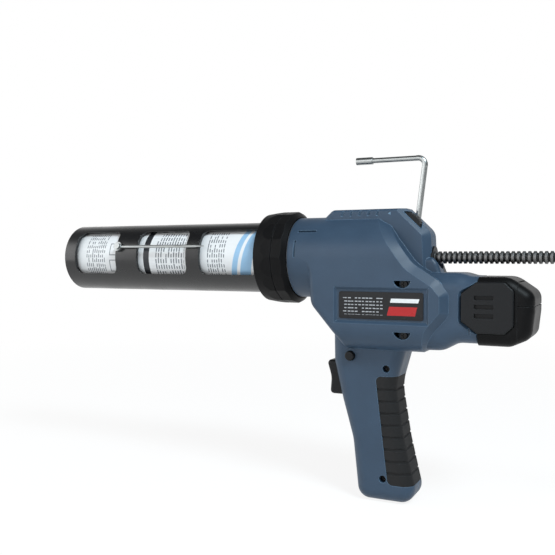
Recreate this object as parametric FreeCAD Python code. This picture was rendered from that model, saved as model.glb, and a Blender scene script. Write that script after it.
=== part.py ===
import FreeCAD, Part
import math
import os

# Cordless caulking tool, in millimetres.
# Every piece is modelled around the drive axis: +X to the rear, +Y to the right side, +Z up,
# Z = 0 on the drive axis. The finished pieces are set down with the grip's centre at the origin.

# Grip centre, seen from the drive axis
GRIP_X = 94.0
GRIP_DROP = 128.0

# Gaps between pieces
SLIDE_GAP = 0.3
FIT_GAP = 0.05
SEAT_GAP = 0.15

# How close a point counts as lying on a plane
NEAR = 0.01

# Standard 310 ml cartridge
CARTRIDGE_R = 25.0
CARTRIDGE_LENGTH = 211.0
CARTRIDGE_WALL = 1.5
CARTRIDGE_END = 2.0
NECK_R = 7.5
NECK_LENGTH = 10.0
NECK_SHOULDER = 0.5
NECK_BORE_R = 4.0
PISTON_LENGTH = 8.0
PISTON_WALL = 2.0
PISTON_INSET = 1.5

# Holder tube with its three windows
TUBE_GAP = 1.4
TUBE_WALL = 2.6
TUBE_END = 4.0
TUBE_EDGE = 1.6
NECK_HOLE_GAP = 1.5
FLANGE_STEP = 2.6
FLANGE_LENGTH = 3.0
WINDOW_LENGTHS = (45.4, 50.6, 54.0)
WINDOW_MARGINS = (13.4, 22.6, 12.6, 0.9)
WINDOW_WIDTH = 37.5
WINDOW_CORNER = 6.0
WINDOW_TILT = 11.0

# Piercing needle on the tube
NEEDLE_WIRE_R = 1.25
NEEDLE_LENGTH = 88.0
NEEDLE_POINT = 9.0
NEEDLE_TILT = 18.0
NEEDLE_INSET = 3.7
EYE_R = 4.0
EYE_HEIGHT = 2.8
RIVET_R = 1.6
RIVET_HEAD_R = 2.9
RIVET_HEAD = 1.2

# Collar nut
COLLAR_FRONT = 2.5
COLLAR_LENGTH = 27.5
COLLAR_LIP = 8.0
COLLAR_CORNER_R = 37.2
COLLAR_SIDES = 16
COLLAR_FRONT_R = 35.6
COLLAR_BEVEL = 11.5
COLLAR_REAR_BEVEL = 4.0
COLLAR_REAR_SLOPE = 3.5
COLLAR_LINE = 15.5
COLLAR_LINE_WIDTH = 0.8
COLLAR_LINE_DEPTH = 0.6
NOSE_STEP = 5.2
CARTRIDGE_INSERT = 15.5

# Housing shell
WALL = 2.6
BODY_HALF = 32.0
BODY_BOTTOM = -70.0
BODY_BOTTOM_R = 18.0
BODY_TOP_SPARE = 8.0
BODY_LOW_REACH = -76.0
BODY_REAR_BEVEL = 6.0
BODY_FRONT_SOFT = 5.0
NOSE_GAP = 0.6
NOSE_REACH = 24.0
SLIT_WIDTH = 1.5
SLIT_DEPTH = 1.2
SLIT_ALONG = (37.2, 52.6)
SLIT_ALONG_Z = 19.4
SLIT_ACROSS = (0.2, 13.2)
SLIT_ACROSS_X = 35.8
SEAM_WIDTH = 0.5
SEAM_DEPTH = 0.6

# Spine on top of the housing
SPINE_HALF = 13.0
SPINE_RISE = 5.0
SPINE_REAR = 138.8
SPINE_REAR_BEVEL = 5.5
SPINE_TOP_SOFT = 2.5
SPINE_GROOVES = 5
SPINE_GROOVE_FIRST = 68.0
SPINE_GROOVE_PITCH = 7.1
SPINE_GROOVE_WIDTH = 2.0
SPINE_GROOVE_DEPTH = 1.0
SPINE_GROOVE_DROP = 5.0
SPINE_GROOVE_LEAN = 1.5

# Sleeve for the battery
SLEEVE_HALF = 26.5
SLEEVE_TOP = -11.0
SLEEVE_BOTTOM = -61.6
SLEEVE_CORNER = 12.0
SLEEVE_REAR = 175.0
SLEEVE_WALL = 3.4
SLEEVE_EDGE = 1.0
SLEEVE_LIP_TOP = -13.3
SLEEVE_SLIT_X = 168.8
SLEEVE_SLIT_Z = (-55.0, -47.0)
SADDLE_HALF = 11.5
SADDLE_SOFT = 3.0

# Handle
HANDLE_HALF = 17.5
HANDLE_SOFT = 9.0
GRIP_PAD_DEPTH = 1.4
GRIP_PAD_GROOVES = 8
GRIP_PAD_GROOVE_PITCH = 9.0
GRIP_PAD_GROOVE_WIDTH = 2.0
GRIP_PAD_GROOVE_DEPTH = 0.7

# Name plate and its recess
PLATE_X = 106.0
PLATE_Z = -35.5
PLATE_LENGTH = 64.5
PLATE_HEIGHT = 20.2
PLATE_THICK = 0.8
PLATE_CORNER = 1.2
RECESS_MARGIN_X = 4.0
RECESS_MARGIN_Z = 3.5
RECESS_DEPTH = 1.8
RECESS_DRAFT = 2.0

# Housing screws
BODY_SCREWS = ((122.7, -19.6), (122.7, -57.2))
HANDLE_SCREWS = ((106.5, -84.0), (104.0, -168.0))
SCREW_R = 1.5
SCREW_HEAD_R = 2.5
SCREW_HEAD = 2.0
SCREW_GRIP = 12.0
SCREW_SINK = 7.0
BOSS_R = 4.2
MOON_HALF = 6.4
MOON_HEIGHT = 5.4

# Rack and the pinion that drives it
RACK_R = 4.6
RACK_MODULE = 1.2
RACK_TIP = 0.5
RACK_ROOT = 0.62
RACK_SPREAD = 0.6
PINION_TEETH = 12
PINION_WIDTH = 7.0
STROKE = 190.0
KNOB_R = 9.0
KNOB_NECK_R = 6.5
KNOB_EDGE = 2.0
KNOB_LENGTH = 16.0
PLUNGER_GAP = 0.5
PLUNGER_THICK = 4.0
PLUNGER_HUB_R = 9.0
PLUNGER_HUB = 7.5
PLUNGER_SCREW_R = 2.5
PLUNGER_SCREW = 14.0
PLUNGER_HEAD_R = 4.6
PLUNGER_HEAD = 2.5
PLUNGER_HEX_R = 1.5
PLUNGER_CLEARANCE = 3.0

# Spur pair, bevel pair and planet gears
PRESSURE_ANGLE = 25.0
GEAR_TIP = 0.8
GEAR_ROOT = 1.0
GEAR_PLAY = 0.16
FLANK_STEPS = 3
SPUR_MODULE = 1.0
SPUR_TEETH = 40
LAY_TEETH = 15
SPUR_WIDTH = 5.0
SPUR_Y = -16.6
LAY_X = 68.8
BEVEL_MODULE = 1.0
BEVEL_TEETH = 18
BEVEL_FACE = 4.0
BEVEL_HUB = 4.0
PLANET_MODULE = 0.7
SUN_TEETH = 12
PLANET_TEETH = 12
PLANETS = 3
PLANET_WIDTH = 9.0
PLANET_PIN_R = 1.5
RING_WALL = 1.5

# Shafts, bushes and the gear frame
PINION_SHAFT_R = 3.0
LAY_SHAFT_R = 2.5
OUTPUT_SHAFT_R = 3.0
BUSH_WALL = 2.2
BUSH_LENGTH = 3.0
REAR_FLANGE_R = 8.4
REAR_FLANGE_SINK = 1.2
REAR_FLANGE_PROUD = 0.5
FRAME_INSIDE = 17.0
FRAME_THICK = 2.0
POST_R = 2.5
POST_SPOTS = ((85.0, 10.0), (40.5, -13.0), (71.0, -52.0))
REST_CLEARANCE = 2.0

# Gearbox, motor and terminal block on the motor axis
MOTOR_Z = -38.5
CASE_WALL = 1.6
CASE_FRONT = 80.0
CASE_FRONT_WALL = 3.0
CASE_LENGTH = 22.0
CARRIER_THICK = 2.5
MOTOR_R = 14.0
MOTOR_LENGTH = 36.0
MOTOR_WALL = 1.2
MOTOR_SHAFT_R = 1.6
ROTOR_R = 10.5
ROTOR_LENGTH = 20.0
ROTOR_INSET = 2.0
ROTOR_SLOTS = 5
ROTOR_SLOT_R = 2.1
COMMUTATOR_R = 4.5
COMMUTATOR_LENGTH = 6.0
MOTOR_CAP = 3.0
CRADLE_THICK = 3.0
TERMINAL_THICK = 4.0
BLADE_LENGTH = 7.0
BLADE_THICK = 0.8
BLADE_HEIGHT = 6.0
BLADE_SPOTS = (-12.0, 0.0, 12.0)

# Battery
BATTERY_HALF = 26.0
BATTERY_SOFT = 8.0
BATTERY_REAR = 213.0
BATTERY_TOP = -13.6
BATTERY_BASE = -62.5
BATTERY_WALL = 2.0
BATTERY_CAP_X = 202.0
CAP_LINE_Z = -33.6
CAP_LINE_WIDTH = 0.7
CAP_LINE_DEPTH = 0.6
STICK_GAP = 0.5
CELLS = 3
CELL_R = 9.2
CELL_LENGTH = 49.8
CELL_GAP = 0.15
CELL_NUB_R = 3.0
CELL_NUB = 0.6
LATCH_THICK = 3.2
LATCH_PROUD = 2.2
LATCH_TRAVEL = 2.0
LATCH_RIM = 1.5
LATCH_GROOVES = 3
LATCH_GROOVE_PITCH = 6.4
LATCH_GROOVE_X = 180.0
LATCH_GROOVE_Z = -34.6
LATCH_GROOVE_LENGTH = 13.5
LATCH_GROOVE_HEIGHT = 3.2
LATCH_GROOVE_DEPTH = 2.0

# Trigger, switch and direction bar
TRIGGER_HALF = 8.0
TRIGGER_TRAVEL = 6.0
TRIGGER_TOP = -81.0
TRIGGER_BOTTOM = -108.0
TRIGGER_REAR = 76.2
TRIGGER_SOFT = 2.5
FLANGE_PLATE = 2.0
FLANGE_PLATE_HALF = 10.5
FLANGE_PLATE_DROP = 1.6
SWITCH_FRONT = 83.6
SWITCH_LENGTH = 18.0
SWITCH_HALF = 8.5
SWITCH_TOP = -84.0
SWITCH_BOTTOM = -106.0
STEM_R = 3.0
SPRING_WIRE_R = 0.45
TRIGGER_SPRING_R = 4.4
TRIGGER_SPRING_TURNS = 6
BAR_X = 78.0
BAR_Z = -75.5
BAR_R = 3.6
BAR_TRAVEL = 3.0
BAR_REST = 0.5

# Speed dial
DIAL_X = 119.5
DIAL_DROP = 13.9
DIAL_R = 10.5
DIAL_WIDTH = 8.0
DIAL_Y = -6.0
DIAL_RIBS = 36
DIAL_RIB = 0.5
DIAL_PIN_R = 1.5

# Hook of bent wire
HOOK_R = 2.2
HOOK_Y = 8.0
HOOK_FOOT_X = 124.2
HOOK_SINK = 3.0
HOOK_LEAN = 7.0
HOOK_HEIGHT = 39.4
HOOK_BEND = 8.0
HOOK_REACH = 53.5
HOOK_DEPTH = 20.0
HOOK_SLEEVE_R = 2.9
HOOK_SLEEVE = 11.0

# Sizes that follow from the ones above
CARTRIDGE_REAR = COLLAR_FRONT + CARTRIDGE_INSERT
CARTRIDGE_FRONT = CARTRIDGE_REAR - CARTRIDGE_LENGTH
CARTRIDGE_BORE_R = CARTRIDGE_R - CARTRIDGE_WALL
TUBE_FRONT = CARTRIDGE_FRONT - TUBE_END
TUBE_BORE_R = CARTRIDGE_R + TUBE_GAP
TUBE_R = TUBE_BORE_R + TUBE_WALL
FLANGE_R = TUBE_R + FLANGE_STEP
FLANGE_FRONT = COLLAR_FRONT + COLLAR_LIP + SLIDE_GAP
FLANGE_REAR = FLANGE_FRONT + FLANGE_LENGTH
COLLAR_REAR = COLLAR_FRONT + COLLAR_LENGTH
NOSE_FRONT = COLLAR_REAR + NOSE_GAP
NOSE_R = COLLAR_CORNER_R - NOSE_STEP
NOSE_BORE_R = NOSE_R - WALL
BODY_TOP_REACH = BODY_HALF + BODY_TOP_SPARE
SPINE_TOP = BODY_HALF + SPINE_RISE
DIAL_Z = SPINE_TOP - DIAL_DROP
HOOK_FOOT_Z = SPINE_TOP - HOOK_SINK
HOOK_TOP = SPINE_TOP + HOOK_HEIGHT
SPIGOT_FRONT = FLANGE_REAR + SLIDE_GAP
PISTON_REAR = CARTRIDGE_REAR - PISTON_INSET
PLUNGER_REAR = PISTON_REAR + PLUNGER_THICK
HUB_REAR = PLUNGER_REAR + PLUNGER_HUB
WEB_FRONT = HUB_REAR + PLUNGER_CLEARANCE
WEB_THICK = 2 * WALL
BUSH_R = RACK_R + BUSH_WALL
RACK_REAR = SPINE_REAR + STROKE + 2 * PLUNGER_HEAD
RACK_PITCH = math.pi * RACK_MODULE
PINION_PITCH_R = RACK_MODULE * PINION_TEETH / 2
RACK_PITCH_R = RACK_R - RACK_TIP * RACK_MODULE
RACK_ROOT_R = RACK_PITCH_R - RACK_ROOT * RACK_MODULE
PINION_Z = -(RACK_PITCH_R + PINION_PITCH_R)
SPUR_PITCH_R = SPUR_MODULE * SPUR_TEETH / 2
LAY_PITCH_R = SPUR_MODULE * LAY_TEETH / 2
SHAFT_DISTANCE = SPUR_PITCH_R + LAY_PITCH_R
LAY_Z = MOTOR_Z
PINION_X = LAY_X - math.sqrt(SHAFT_DISTANCE ** 2 - (PINION_Z - LAY_Z) ** 2)
BEVEL_PITCH_R = BEVEL_MODULE * BEVEL_TEETH / 2
SUN_PITCH_R = PLANET_MODULE * SUN_TEETH / 2
PLANET_PITCH_R = PLANET_MODULE * PLANET_TEETH / 2
CARRIER_R = SUN_PITCH_R + PLANET_PITCH_R
RING_TEETH = SUN_TEETH + 2 * PLANET_TEETH
RING_PITCH_R = PLANET_MODULE * RING_TEETH / 2
RING_R = RING_PITCH_R + GEAR_ROOT * PLANET_MODULE + RING_WALL
CASE_R = RING_R + SEAT_GAP + CASE_WALL
CASE_REAR = CASE_FRONT + CASE_LENGTH
CARRIER_FRONT = CASE_FRONT + CASE_FRONT_WALL + SLIDE_GAP
PLANET_FRONT = CARRIER_FRONT + CARRIER_THICK + SLIDE_GAP
PLANET_REAR = PLANET_FRONT + PLANET_WIDTH
MOTOR_REAR = CASE_REAR + MOTOR_LENGTH
TERMINAL_FRONT = MOTOR_REAR + SLIDE_GAP
TERMINAL_REAR = TERMINAL_FRONT + TERMINAL_THICK
STICK_FRONT = TERMINAL_REAR + SLIDE_GAP
BATTERY_FRONT = SLEEVE_REAR + SLIDE_GAP
SLEEVE_BORE_TOP = SLEEVE_TOP - SLEEVE_WALL
SLEEVE_BORE_BOTTOM = SLEEVE_BOTTOM + SLEEVE_WALL
CELL_FRONT = STICK_FRONT + BATTERY_WALL + CELL_NUB + SLIDE_GAP
STICK_Z = (SLEEVE_BORE_TOP + SLEEVE_BORE_BOTTOM) / 2
STEM_Z = (TRIGGER_TOP + TRIGGER_BOTTOM) / 2
FRAME_OUTSIDE = FRAME_INSIDE + FRAME_THICK

# Outlines seen from the side: X, Z and the corner's rounding
BODY_OUTLINE = (
    (NOSE_FRONT, BODY_TOP_REACH, 0), (NOSE_FRONT, -2, 12), (47, -8, 8), (49.5, -36, 12),
    (72.5, -62.5, 8), (72.5, BODY_LOW_REACH, 0), (140, BODY_LOW_REACH, 0), (144, -56, 10),
    (155.8, -42, 8), (155.8, -26, 8), (148, -16.5, 16), (128.5, -4, 24), (115.5, 13.5, 40),
    (98.5, BODY_TOP_REACH, 0),
)
SPINE_OUTLINE = (
    (50, SPINE_TOP - 10, 0), (61, SPINE_TOP, 5), (119, SPINE_TOP, 0), (137.5, SPINE_TOP - 18, 10),
    (SPINE_REAR, -8, 0), (50, -8, 0),
)
SLEEVE_OUTLINE = (
    (100, SLEEVE_TOP, 0), (161.5, SLEEVE_TOP, 20), (169, SLEEVE_LIP_TOP, 15),
    (SLEEVE_REAR, SLEEVE_LIP_TOP, 0), (SLEEVE_REAR, SLEEVE_BOTTOM, 0), (160, SLEEVE_BOTTOM, 15),
    (150, -67.8, 15), (100, -69, 0),
)
SADDLE_OUTLINE = (
    (125, SLEEVE_TOP - 2, 0), (125, 0, 0), (139.8, 0, 2), (143, -4, 4), (146.5, SLEEVE_TOP - 2, 0),
)
HANDLE_OUTLINE = (
    (62, -50, 0), (62.5, -80, 12), (69.5, -110, 30), (78, -140, 40), (83, -186, 10),
    (130, -186, 11), (119, -140, 50), (112, -98, 40), (122, -62, 14), (122, -50, 0),
)
BATTERY_OUTLINE = (
    (BATTERY_FRONT, BATTERY_TOP, 0), (196.5, BATTERY_TOP, 16), (BATTERY_REAR, -25, 9),
    (BATTERY_REAR, -38, 9), (211, -56, 9), (197, BATTERY_BASE, 10), (BATTERY_FRONT, BATTERY_BASE, 0),
)
LATCH_OUTLINE = (
    (164, -25.5, 2), (175, -17.2, 2), (194, -17.2, 2), (200, -23, 2),
    (200, -47.5, 2), (194, -53.3, 2), (175, -53.3, 2), (164, -45, 2),
)
TRIGGER_OUTLINE = (
    (TRIGGER_REAR, TRIGGER_TOP, 0), (54, TRIGGER_TOP, 3), (58, STEM_Z, 18), (57, TRIGGER_BOTTOM, 3),
    (TRIGGER_REAR, TRIGGER_BOTTOM, 0),
)
PAD_OUTLINE = (
    (98, -90, 4), (140, -90, 0), (140, -172, 0), (108, -172, 4),
)
FRAME_OUTLINE = (
    (37, 13, 3), (90, 15, 3), (90, -16, 3), (77, -21, 2), (77, -55.5, 2), (70.5, -54.5, 2),
    (57.5, -38, 2), (55, -20, 2), (37, -17, 3),
)


def vec(x, y, z):
    return FreeCAD.Vector(x, y, z)


def corner_turn(before, here, after):
    """Twice the signed area of a corner: positive where the outline turns left."""
    run = (here[0] - before[0], here[1] - before[1])
    rise = (after[0] - here[0], after[1] - here[1])
    return run[0] * rise[1] - run[1] * rise[0]


def outline_area(points):
    """Signed area of an outline, positive when it runs anticlockwise."""
    ring = list(points[1:]) + [points[0]]
    return sum(a[0] * b[1] - b[0] * a[1] for a, b in zip(points, ring)) / 2


def inset(points, depth):
    """The outline moved inwards by a depth, each corner's rounding with it."""
    if depth == 0:
        return list(points)
    count = len(points)
    side = 1 if outline_area(points) > 0 else -1
    lines = []
    for index, start in enumerate(points):
        end = points[(index + 1) % count]
        length = math.hypot(end[0] - start[0], end[1] - start[1])
        along = ((end[0] - start[0]) / length, (end[1] - start[1]) / length)
        shift = (-along[1] * side * depth, along[0] * side * depth)
        lines.append(((start[0] + shift[0], start[1] + shift[1]), along))
    moved = []
    for index, here in enumerate(points):
        (p, d), (q, e) = lines[index - 1], lines[index]
        cross = d[0] * e[1] - d[1] * e[0]
        reach = ((q[0] - p[0]) * e[1] - (q[1] - p[1]) * e[0]) / cross
        turn = corner_turn(points[index - 1], here, points[(index + 1) % count]) * side
        radius = here[2]
        if radius > 0:
            radius = max(radius - depth, 0) if turn > 0 else radius + depth
        moved.append((p[0] + d[0] * reach, p[1] + d[1] * reach, radius))
    return moved


def rounded_face(points, place):
    """A face inside straight runs, each corner rounded by its own radius; place sets (u, v) in space."""
    count = len(points)
    corners = []
    for index, (u, v, radius) in enumerate(points):
        before, after = points[index - 1], points[(index + 1) % count]
        back = FreeCAD.Vector(before[0] - u, before[1] - v, 0).normalize()
        ahead = FreeCAD.Vector(after[0] - u, after[1] - v, 0).normalize()
        here = FreeCAD.Vector(u, v, 0)
        if radius <= 0:
            corners.append((here, None, here))
            continue
        half = back.getAngle(ahead) / 2
        reach = radius / math.tan(half)
        middle = (back + ahead).normalize() * (radius / math.sin(half) - radius)
        corners.append((here + back * reach, here + middle, here + ahead * reach))
    edges = []
    for index, (enter, middle, leave) in enumerate(corners):
        last = corners[index - 1][2]
        if last.distanceToPoint(enter) > 1e-6:
            edges.append(Part.LineSegment(place(last), place(enter)).toShape())
        if middle is not None:
            edges.append(Part.Arc(place(enter), place(middle), place(leave)).toShape())
    return Part.Face(Part.Wire(edges))


def slab(points, low, high):
    """An outline in X and Z carried across Y."""
    face = rounded_face(points, lambda p: vec(p.x, low, p.y))
    return face.extrude(vec(0, high - low, 0))


def bar(points, low, high):
    """An outline in Y and Z carried along X."""
    face = rounded_face(points, lambda p: vec(low, p.x, p.y))
    return face.extrude(vec(high - low, 0, 0))


def block(x, y, z):
    """A box from three pairs of limits."""
    return Part.makeBox(x[1] - x[0], y[1] - y[0], z[1] - z[0], vec(x[0], y[0], z[0]))


def rod_x(low, high, radius, y=0.0, z=0.0):
    return Part.makeCylinder(radius, high - low, vec(low, y, z), vec(1, 0, 0))


def rod_y(low, high, radius, x, z):
    return Part.makeCylinder(radius, high - low, vec(x, low, z), vec(0, 1, 0))


def tube_x(low, high, radius, bore, y=0.0, z=0.0):
    return rod_x(low, high, radius, y, z).cut(rod_x(low, high, bore, y, z))


def turned(points, z=0.0):
    """An outline of X and radius turned about a line along X."""
    ring = [vec(x, 0, z + r) for x, r in points]
    face = Part.Face(Part.makePolygon(ring + [ring[0]]))
    return face.revolve(vec(0, 0, z), vec(1, 0, 0), 360)


def edges_where(shape, test):
    """The edges whose middle point and direction there pass a test."""
    chosen = []
    for edge in shape.Edges:
        if edge.Length < 1e-3:
            continue
        middle = (edge.FirstParameter + edge.LastParameter) / 2
        if test(edge.valueAt(middle), edge.tangentAt(middle)):
            chosen.append(edge)
    return chosen


def slanted(direction):
    """True where an edge runs neither along X nor along Y."""
    return abs(direction.x) < 0.999 and abs(direction.y) < 0.999


def mirrored(shape):
    """The same piece on the other side."""
    return shape.mirror(vec(0, 0, 0), vec(0, 1, 0))


def rectangle(y, z, half_width, half_height, corner):
    """Outline of a rounded rectangle about a centre."""
    return ((y - half_width, z - half_height, corner), (y + half_width, z - half_height, corner),
            (y + half_width, z + half_height, corner), (y - half_width, z + half_height, corner))


def involute(angle):
    return math.tan(angle) - angle


def flank(teeth, module, tip, root, play):
    """Radii up one flank and the half angle of the tooth at each, along an involute."""
    pitch_r = module * teeth / 2
    pressure = math.radians(PRESSURE_ANGLE)
    base_r = pitch_r * math.cos(pressure)
    half = math.pi / (2 * teeth) - play / (2 * pitch_r)
    low, high = pitch_r - root * module, pitch_r + tip * module
    start = max(low, base_r)
    radii = [start + (high - start) * step / FLANK_STEPS for step in range(FLANK_STEPS + 1)]
    angles = [half + involute(pressure) - involute(math.acos(min(1, base_r / r))) for r in radii]
    if low < start:
        radii.insert(0, low)
        angles.insert(0, angles[0])
    return radii, angles


def gear_points(teeth, module, tip, root, play, phase):
    """Corner points around a gear, with a tooth's centre at the phase angle in degrees."""
    radii, angles = flank(teeth, module, tip, root, play)
    points = []
    for tooth in range(teeth):
        centre = math.radians(phase) + 2 * math.pi * tooth / teeth
        up = [(r, centre - a) for r, a in zip(radii, angles)]
        down = [(r, centre + a) for r, a in zip(reversed(radii), reversed(angles))]
        points += [(r * math.cos(a), r * math.sin(a)) for r, a in up + down]
    return points


def gear_face(teeth, module, phase, place, tip=GEAR_TIP, root=GEAR_ROOT, play=GEAR_PLAY):
    points = [place(u, v) for u, v in gear_points(teeth, module, tip, root, play, phase)]
    return Part.Face(Part.makePolygon(points + [points[0]]))


def spur_gear_y(teeth, module, phase, x, z, low, high, bore, tip=GEAR_TIP, root=GEAR_ROOT, play=GEAR_PLAY):
    """A spur gear on a shaft along Y; angles run from +X towards -Z."""
    face = gear_face(teeth, module, phase, lambda u, v: vec(x + u, low, z - v), tip, root, play)
    return face.extrude(vec(0, high - low, 0)).cut(rod_y(low, high, bore, x, z))


def spur_gear_x(teeth, module, phase, y, z, low, high, play=GEAR_PLAY):
    """A spur gear on a shaft along X; angles run from +Y towards +Z."""
    face = gear_face(teeth, module, phase, lambda u, v: vec(low, y + u, z + v), play=play)
    return face.extrude(vec(high - low, 0, 0))


def mating_phase(teeth, other_teeth, other_phase, direction):
    """Phase in degrees of a gear meshed with another that lies in the opposite of a direction."""
    turn = 180 - other_teeth * (direction - other_phase)
    return direction + 180 - turn / teeth


def window_spans():
    """Front and rear of each window, their lengths stretched together to fill the tube."""
    room = COLLAR_FRONT - TUBE_FRONT - sum(WINDOW_MARGINS)
    stretch = room / sum(WINDOW_LENGTHS)
    spans = []
    rear = TUBE_FRONT
    for margin, length in zip(WINDOW_MARGINS, WINDOW_LENGTHS):
        front = rear + margin
        rear = front + stretch * length
        spans.append((front, rear))
    return spans


def needle_x():
    """The rivet sits just behind the first window."""
    return window_spans()[0][1] + NEEDLE_INSET


def holder_tube():
    """Tube with an end wall, a clamping flange at its rear and three windows on its left side."""
    edge = TUBE_EDGE
    shell = turned((
        (TUBE_FRONT, 0), (TUBE_FRONT, TUBE_R - edge), (TUBE_FRONT + edge, TUBE_R), (FLANGE_FRONT, TUBE_R),
        (FLANGE_FRONT, FLANGE_R), (FLANGE_REAR, FLANGE_R), (FLANGE_REAR, TUBE_BORE_R),
        (CARTRIDGE_FRONT, TUBE_BORE_R), (CARTRIDGE_FRONT, 0),
    ))
    shell = shell.cut(rod_x(TUBE_FRONT, CARTRIDGE_FRONT, NECK_R + NECK_HOLE_GAP))
    for front, rear in window_spans():
        half = (rear - front) / 2
        cut = slab(rectangle(front + half, 0, half, WINDOW_WIDTH / 2, WINDOW_CORNER), -2 * TUBE_R, 0)
        cut.rotate(vec(0, 0, 0), vec(1, 0, 0), -WINDOW_TILT)
        shell = shell.cut(cut)
    return shell


def cartridge_body():
    """Thin cartridge, closed in front with a bored neck, open behind."""
    neck_front = TUBE_FRONT - NECK_LENGTH
    shoulder_r = NECK_R + NECK_SHOULDER
    body = turned((
        (neck_front, 0), (neck_front, NECK_R), (TUBE_FRONT, NECK_R), (TUBE_FRONT, shoulder_r),
        (CARTRIDGE_FRONT, shoulder_r), (CARTRIDGE_FRONT, CARTRIDGE_R),
        (CARTRIDGE_REAR, CARTRIDGE_R), (CARTRIDGE_REAR, CARTRIDGE_BORE_R),
        (CARTRIDGE_FRONT + CARTRIDGE_END, CARTRIDGE_BORE_R), (CARTRIDGE_FRONT + CARTRIDGE_END, 0),
    ))
    return body.cut(rod_x(neck_front, CARTRIDGE_FRONT + CARTRIDGE_END, NECK_BORE_R))


def cartridge_piston():
    """Cup in the cartridge that the plunger pushes."""
    radius = CARTRIDGE_BORE_R - SLIDE_GAP
    front = PISTON_REAR - PISTON_LENGTH
    return turned((
        (front, 0), (front, radius - PISTON_WALL), (front + PISTON_WALL, radius), (PISTON_REAR, radius),
        (PISTON_REAR, 0),
    ))


def on_needle_axis(shape):
    """Turn a piece built on the left side up to the needle's place on the tube."""
    shape.rotate(vec(0, 0, 0), vec(1, 0, 0), -NEEDLE_TILT)
    return shape


def needle():
    """Eye round its rivet and a long pointed wire that lies along the tube."""
    x = needle_x()
    inner = -(TUBE_R + SLIDE_GAP)
    outer = inner - EYE_HEIGHT
    wire_y = (inner + outer) / 2
    shaft_end = x + NEEDLE_LENGTH - NEEDLE_POINT
    wire = rod_x(x, shaft_end, NEEDLE_WIRE_R, wire_y)
    tip_r = NEEDLE_WIRE_R / 4
    point = Part.makeCone(NEEDLE_WIRE_R, tip_r, NEEDLE_POINT, vec(shaft_end, wire_y, 0), vec(1, 0, 0))
    eye = rod_y(outer, inner, EYE_R, x, 0)
    body = eye.fuse([wire, point]).cut(rod_y(outer, inner, RIVET_R + FIT_GAP, x, 0))
    return on_needle_axis(body.removeSplitter())


def needle_rivet():
    """Headed rivet through the tube's wall that the needle turns on."""
    x = needle_x()
    outer = -(TUBE_R + 2 * SLIDE_GAP + EYE_HEIGHT)
    pin = rod_y(outer, -TUBE_BORE_R, RIVET_R, x, 0)
    head = rod_y(outer - RIVET_HEAD, outer, RIVET_HEAD_R, x, 0)
    return on_needle_axis(pin.fuse(head).removeSplitter())


def drilled_tube():
    """The holder tube with its rivet hole."""
    return holder_tube().cut(on_needle_axis(rod_y(-2 * TUBE_R, 0, RIVET_R, needle_x(), 0)))


def collar_nut():
    """Faceted nut with bevelled ends and a fine groove that clamps the tube's flange on the spigot."""
    corner = [(COLLAR_CORNER_R * math.cos(math.radians(a)), COLLAR_CORNER_R * math.sin(math.radians(a)), 0)
              for a in (360 * side / COLLAR_SIDES for side in range(COLLAR_SIDES))]
    prism = bar(corner, COLLAR_FRONT, COLLAR_REAR)
    form = turned((
        (COLLAR_FRONT, 0), (COLLAR_FRONT, COLLAR_FRONT_R), (COLLAR_FRONT + COLLAR_BEVEL, COLLAR_CORNER_R),
        (COLLAR_REAR - COLLAR_REAR_SLOPE, COLLAR_CORNER_R),
        (COLLAR_REAR, COLLAR_CORNER_R - COLLAR_REAR_BEVEL), (COLLAR_REAR, 0),
    ))
    bores = rod_x(COLLAR_FRONT, COLLAR_REAR, TUBE_R + SLIDE_GAP)
    bores = bores.fuse(rod_x(COLLAR_FRONT + COLLAR_LIP, COLLAR_REAR, FLANGE_R + SLIDE_GAP))
    line = COLLAR_FRONT + COLLAR_LINE
    flat_r = COLLAR_CORNER_R * math.cos(math.pi / COLLAR_SIDES)
    groove = tube_x(line, line + COLLAR_LINE_WIDTH, 2 * COLLAR_CORNER_R, flat_r - COLLAR_LINE_DEPTH)
    return prism.common(form).cut([bores, groove])


def front_socket():
    """Spigot for the collar nut, with a web across it that holds the front guide bush."""
    web_rear = WEB_FRONT + WEB_THICK
    body = turned((
        (SPIGOT_FRONT, TUBE_BORE_R), (SPIGOT_FRONT, FLANGE_R - SLIDE_GAP),
        (COLLAR_REAR + SLIDE_GAP, FLANGE_R - SLIDE_GAP), (COLLAR_REAR + SLIDE_GAP, NOSE_BORE_R - SEAT_GAP),
        (web_rear, NOSE_BORE_R - SEAT_GAP), (web_rear, BUSH_R + SEAT_GAP), (WEB_FRONT, BUSH_R + SEAT_GAP),
        (WEB_FRONT, TUBE_BORE_R),
    ))
    return body


def guide_bush(front, length):
    """Plain bush that the rack slides in."""
    return tube_x(front, front + length, BUSH_R, RACK_R + FIT_GAP)


def front_bush():
    return guide_bush(WEB_FRONT, WEB_THICK)


def rear_bush():
    """Bush in the spine's rear wall with a flange round the rack's way out."""
    front, rear = SPINE_REAR - REAR_FLANGE_SINK, SPINE_REAR + REAR_FLANGE_PROUD
    flange = tube_x(front, rear, REAR_FLANGE_R, RACK_R + FIT_GAP)
    return guide_bush(SPINE_REAR - 4 * WALL, 4 * WALL).fuse(flange).removeSplitter()


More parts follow.
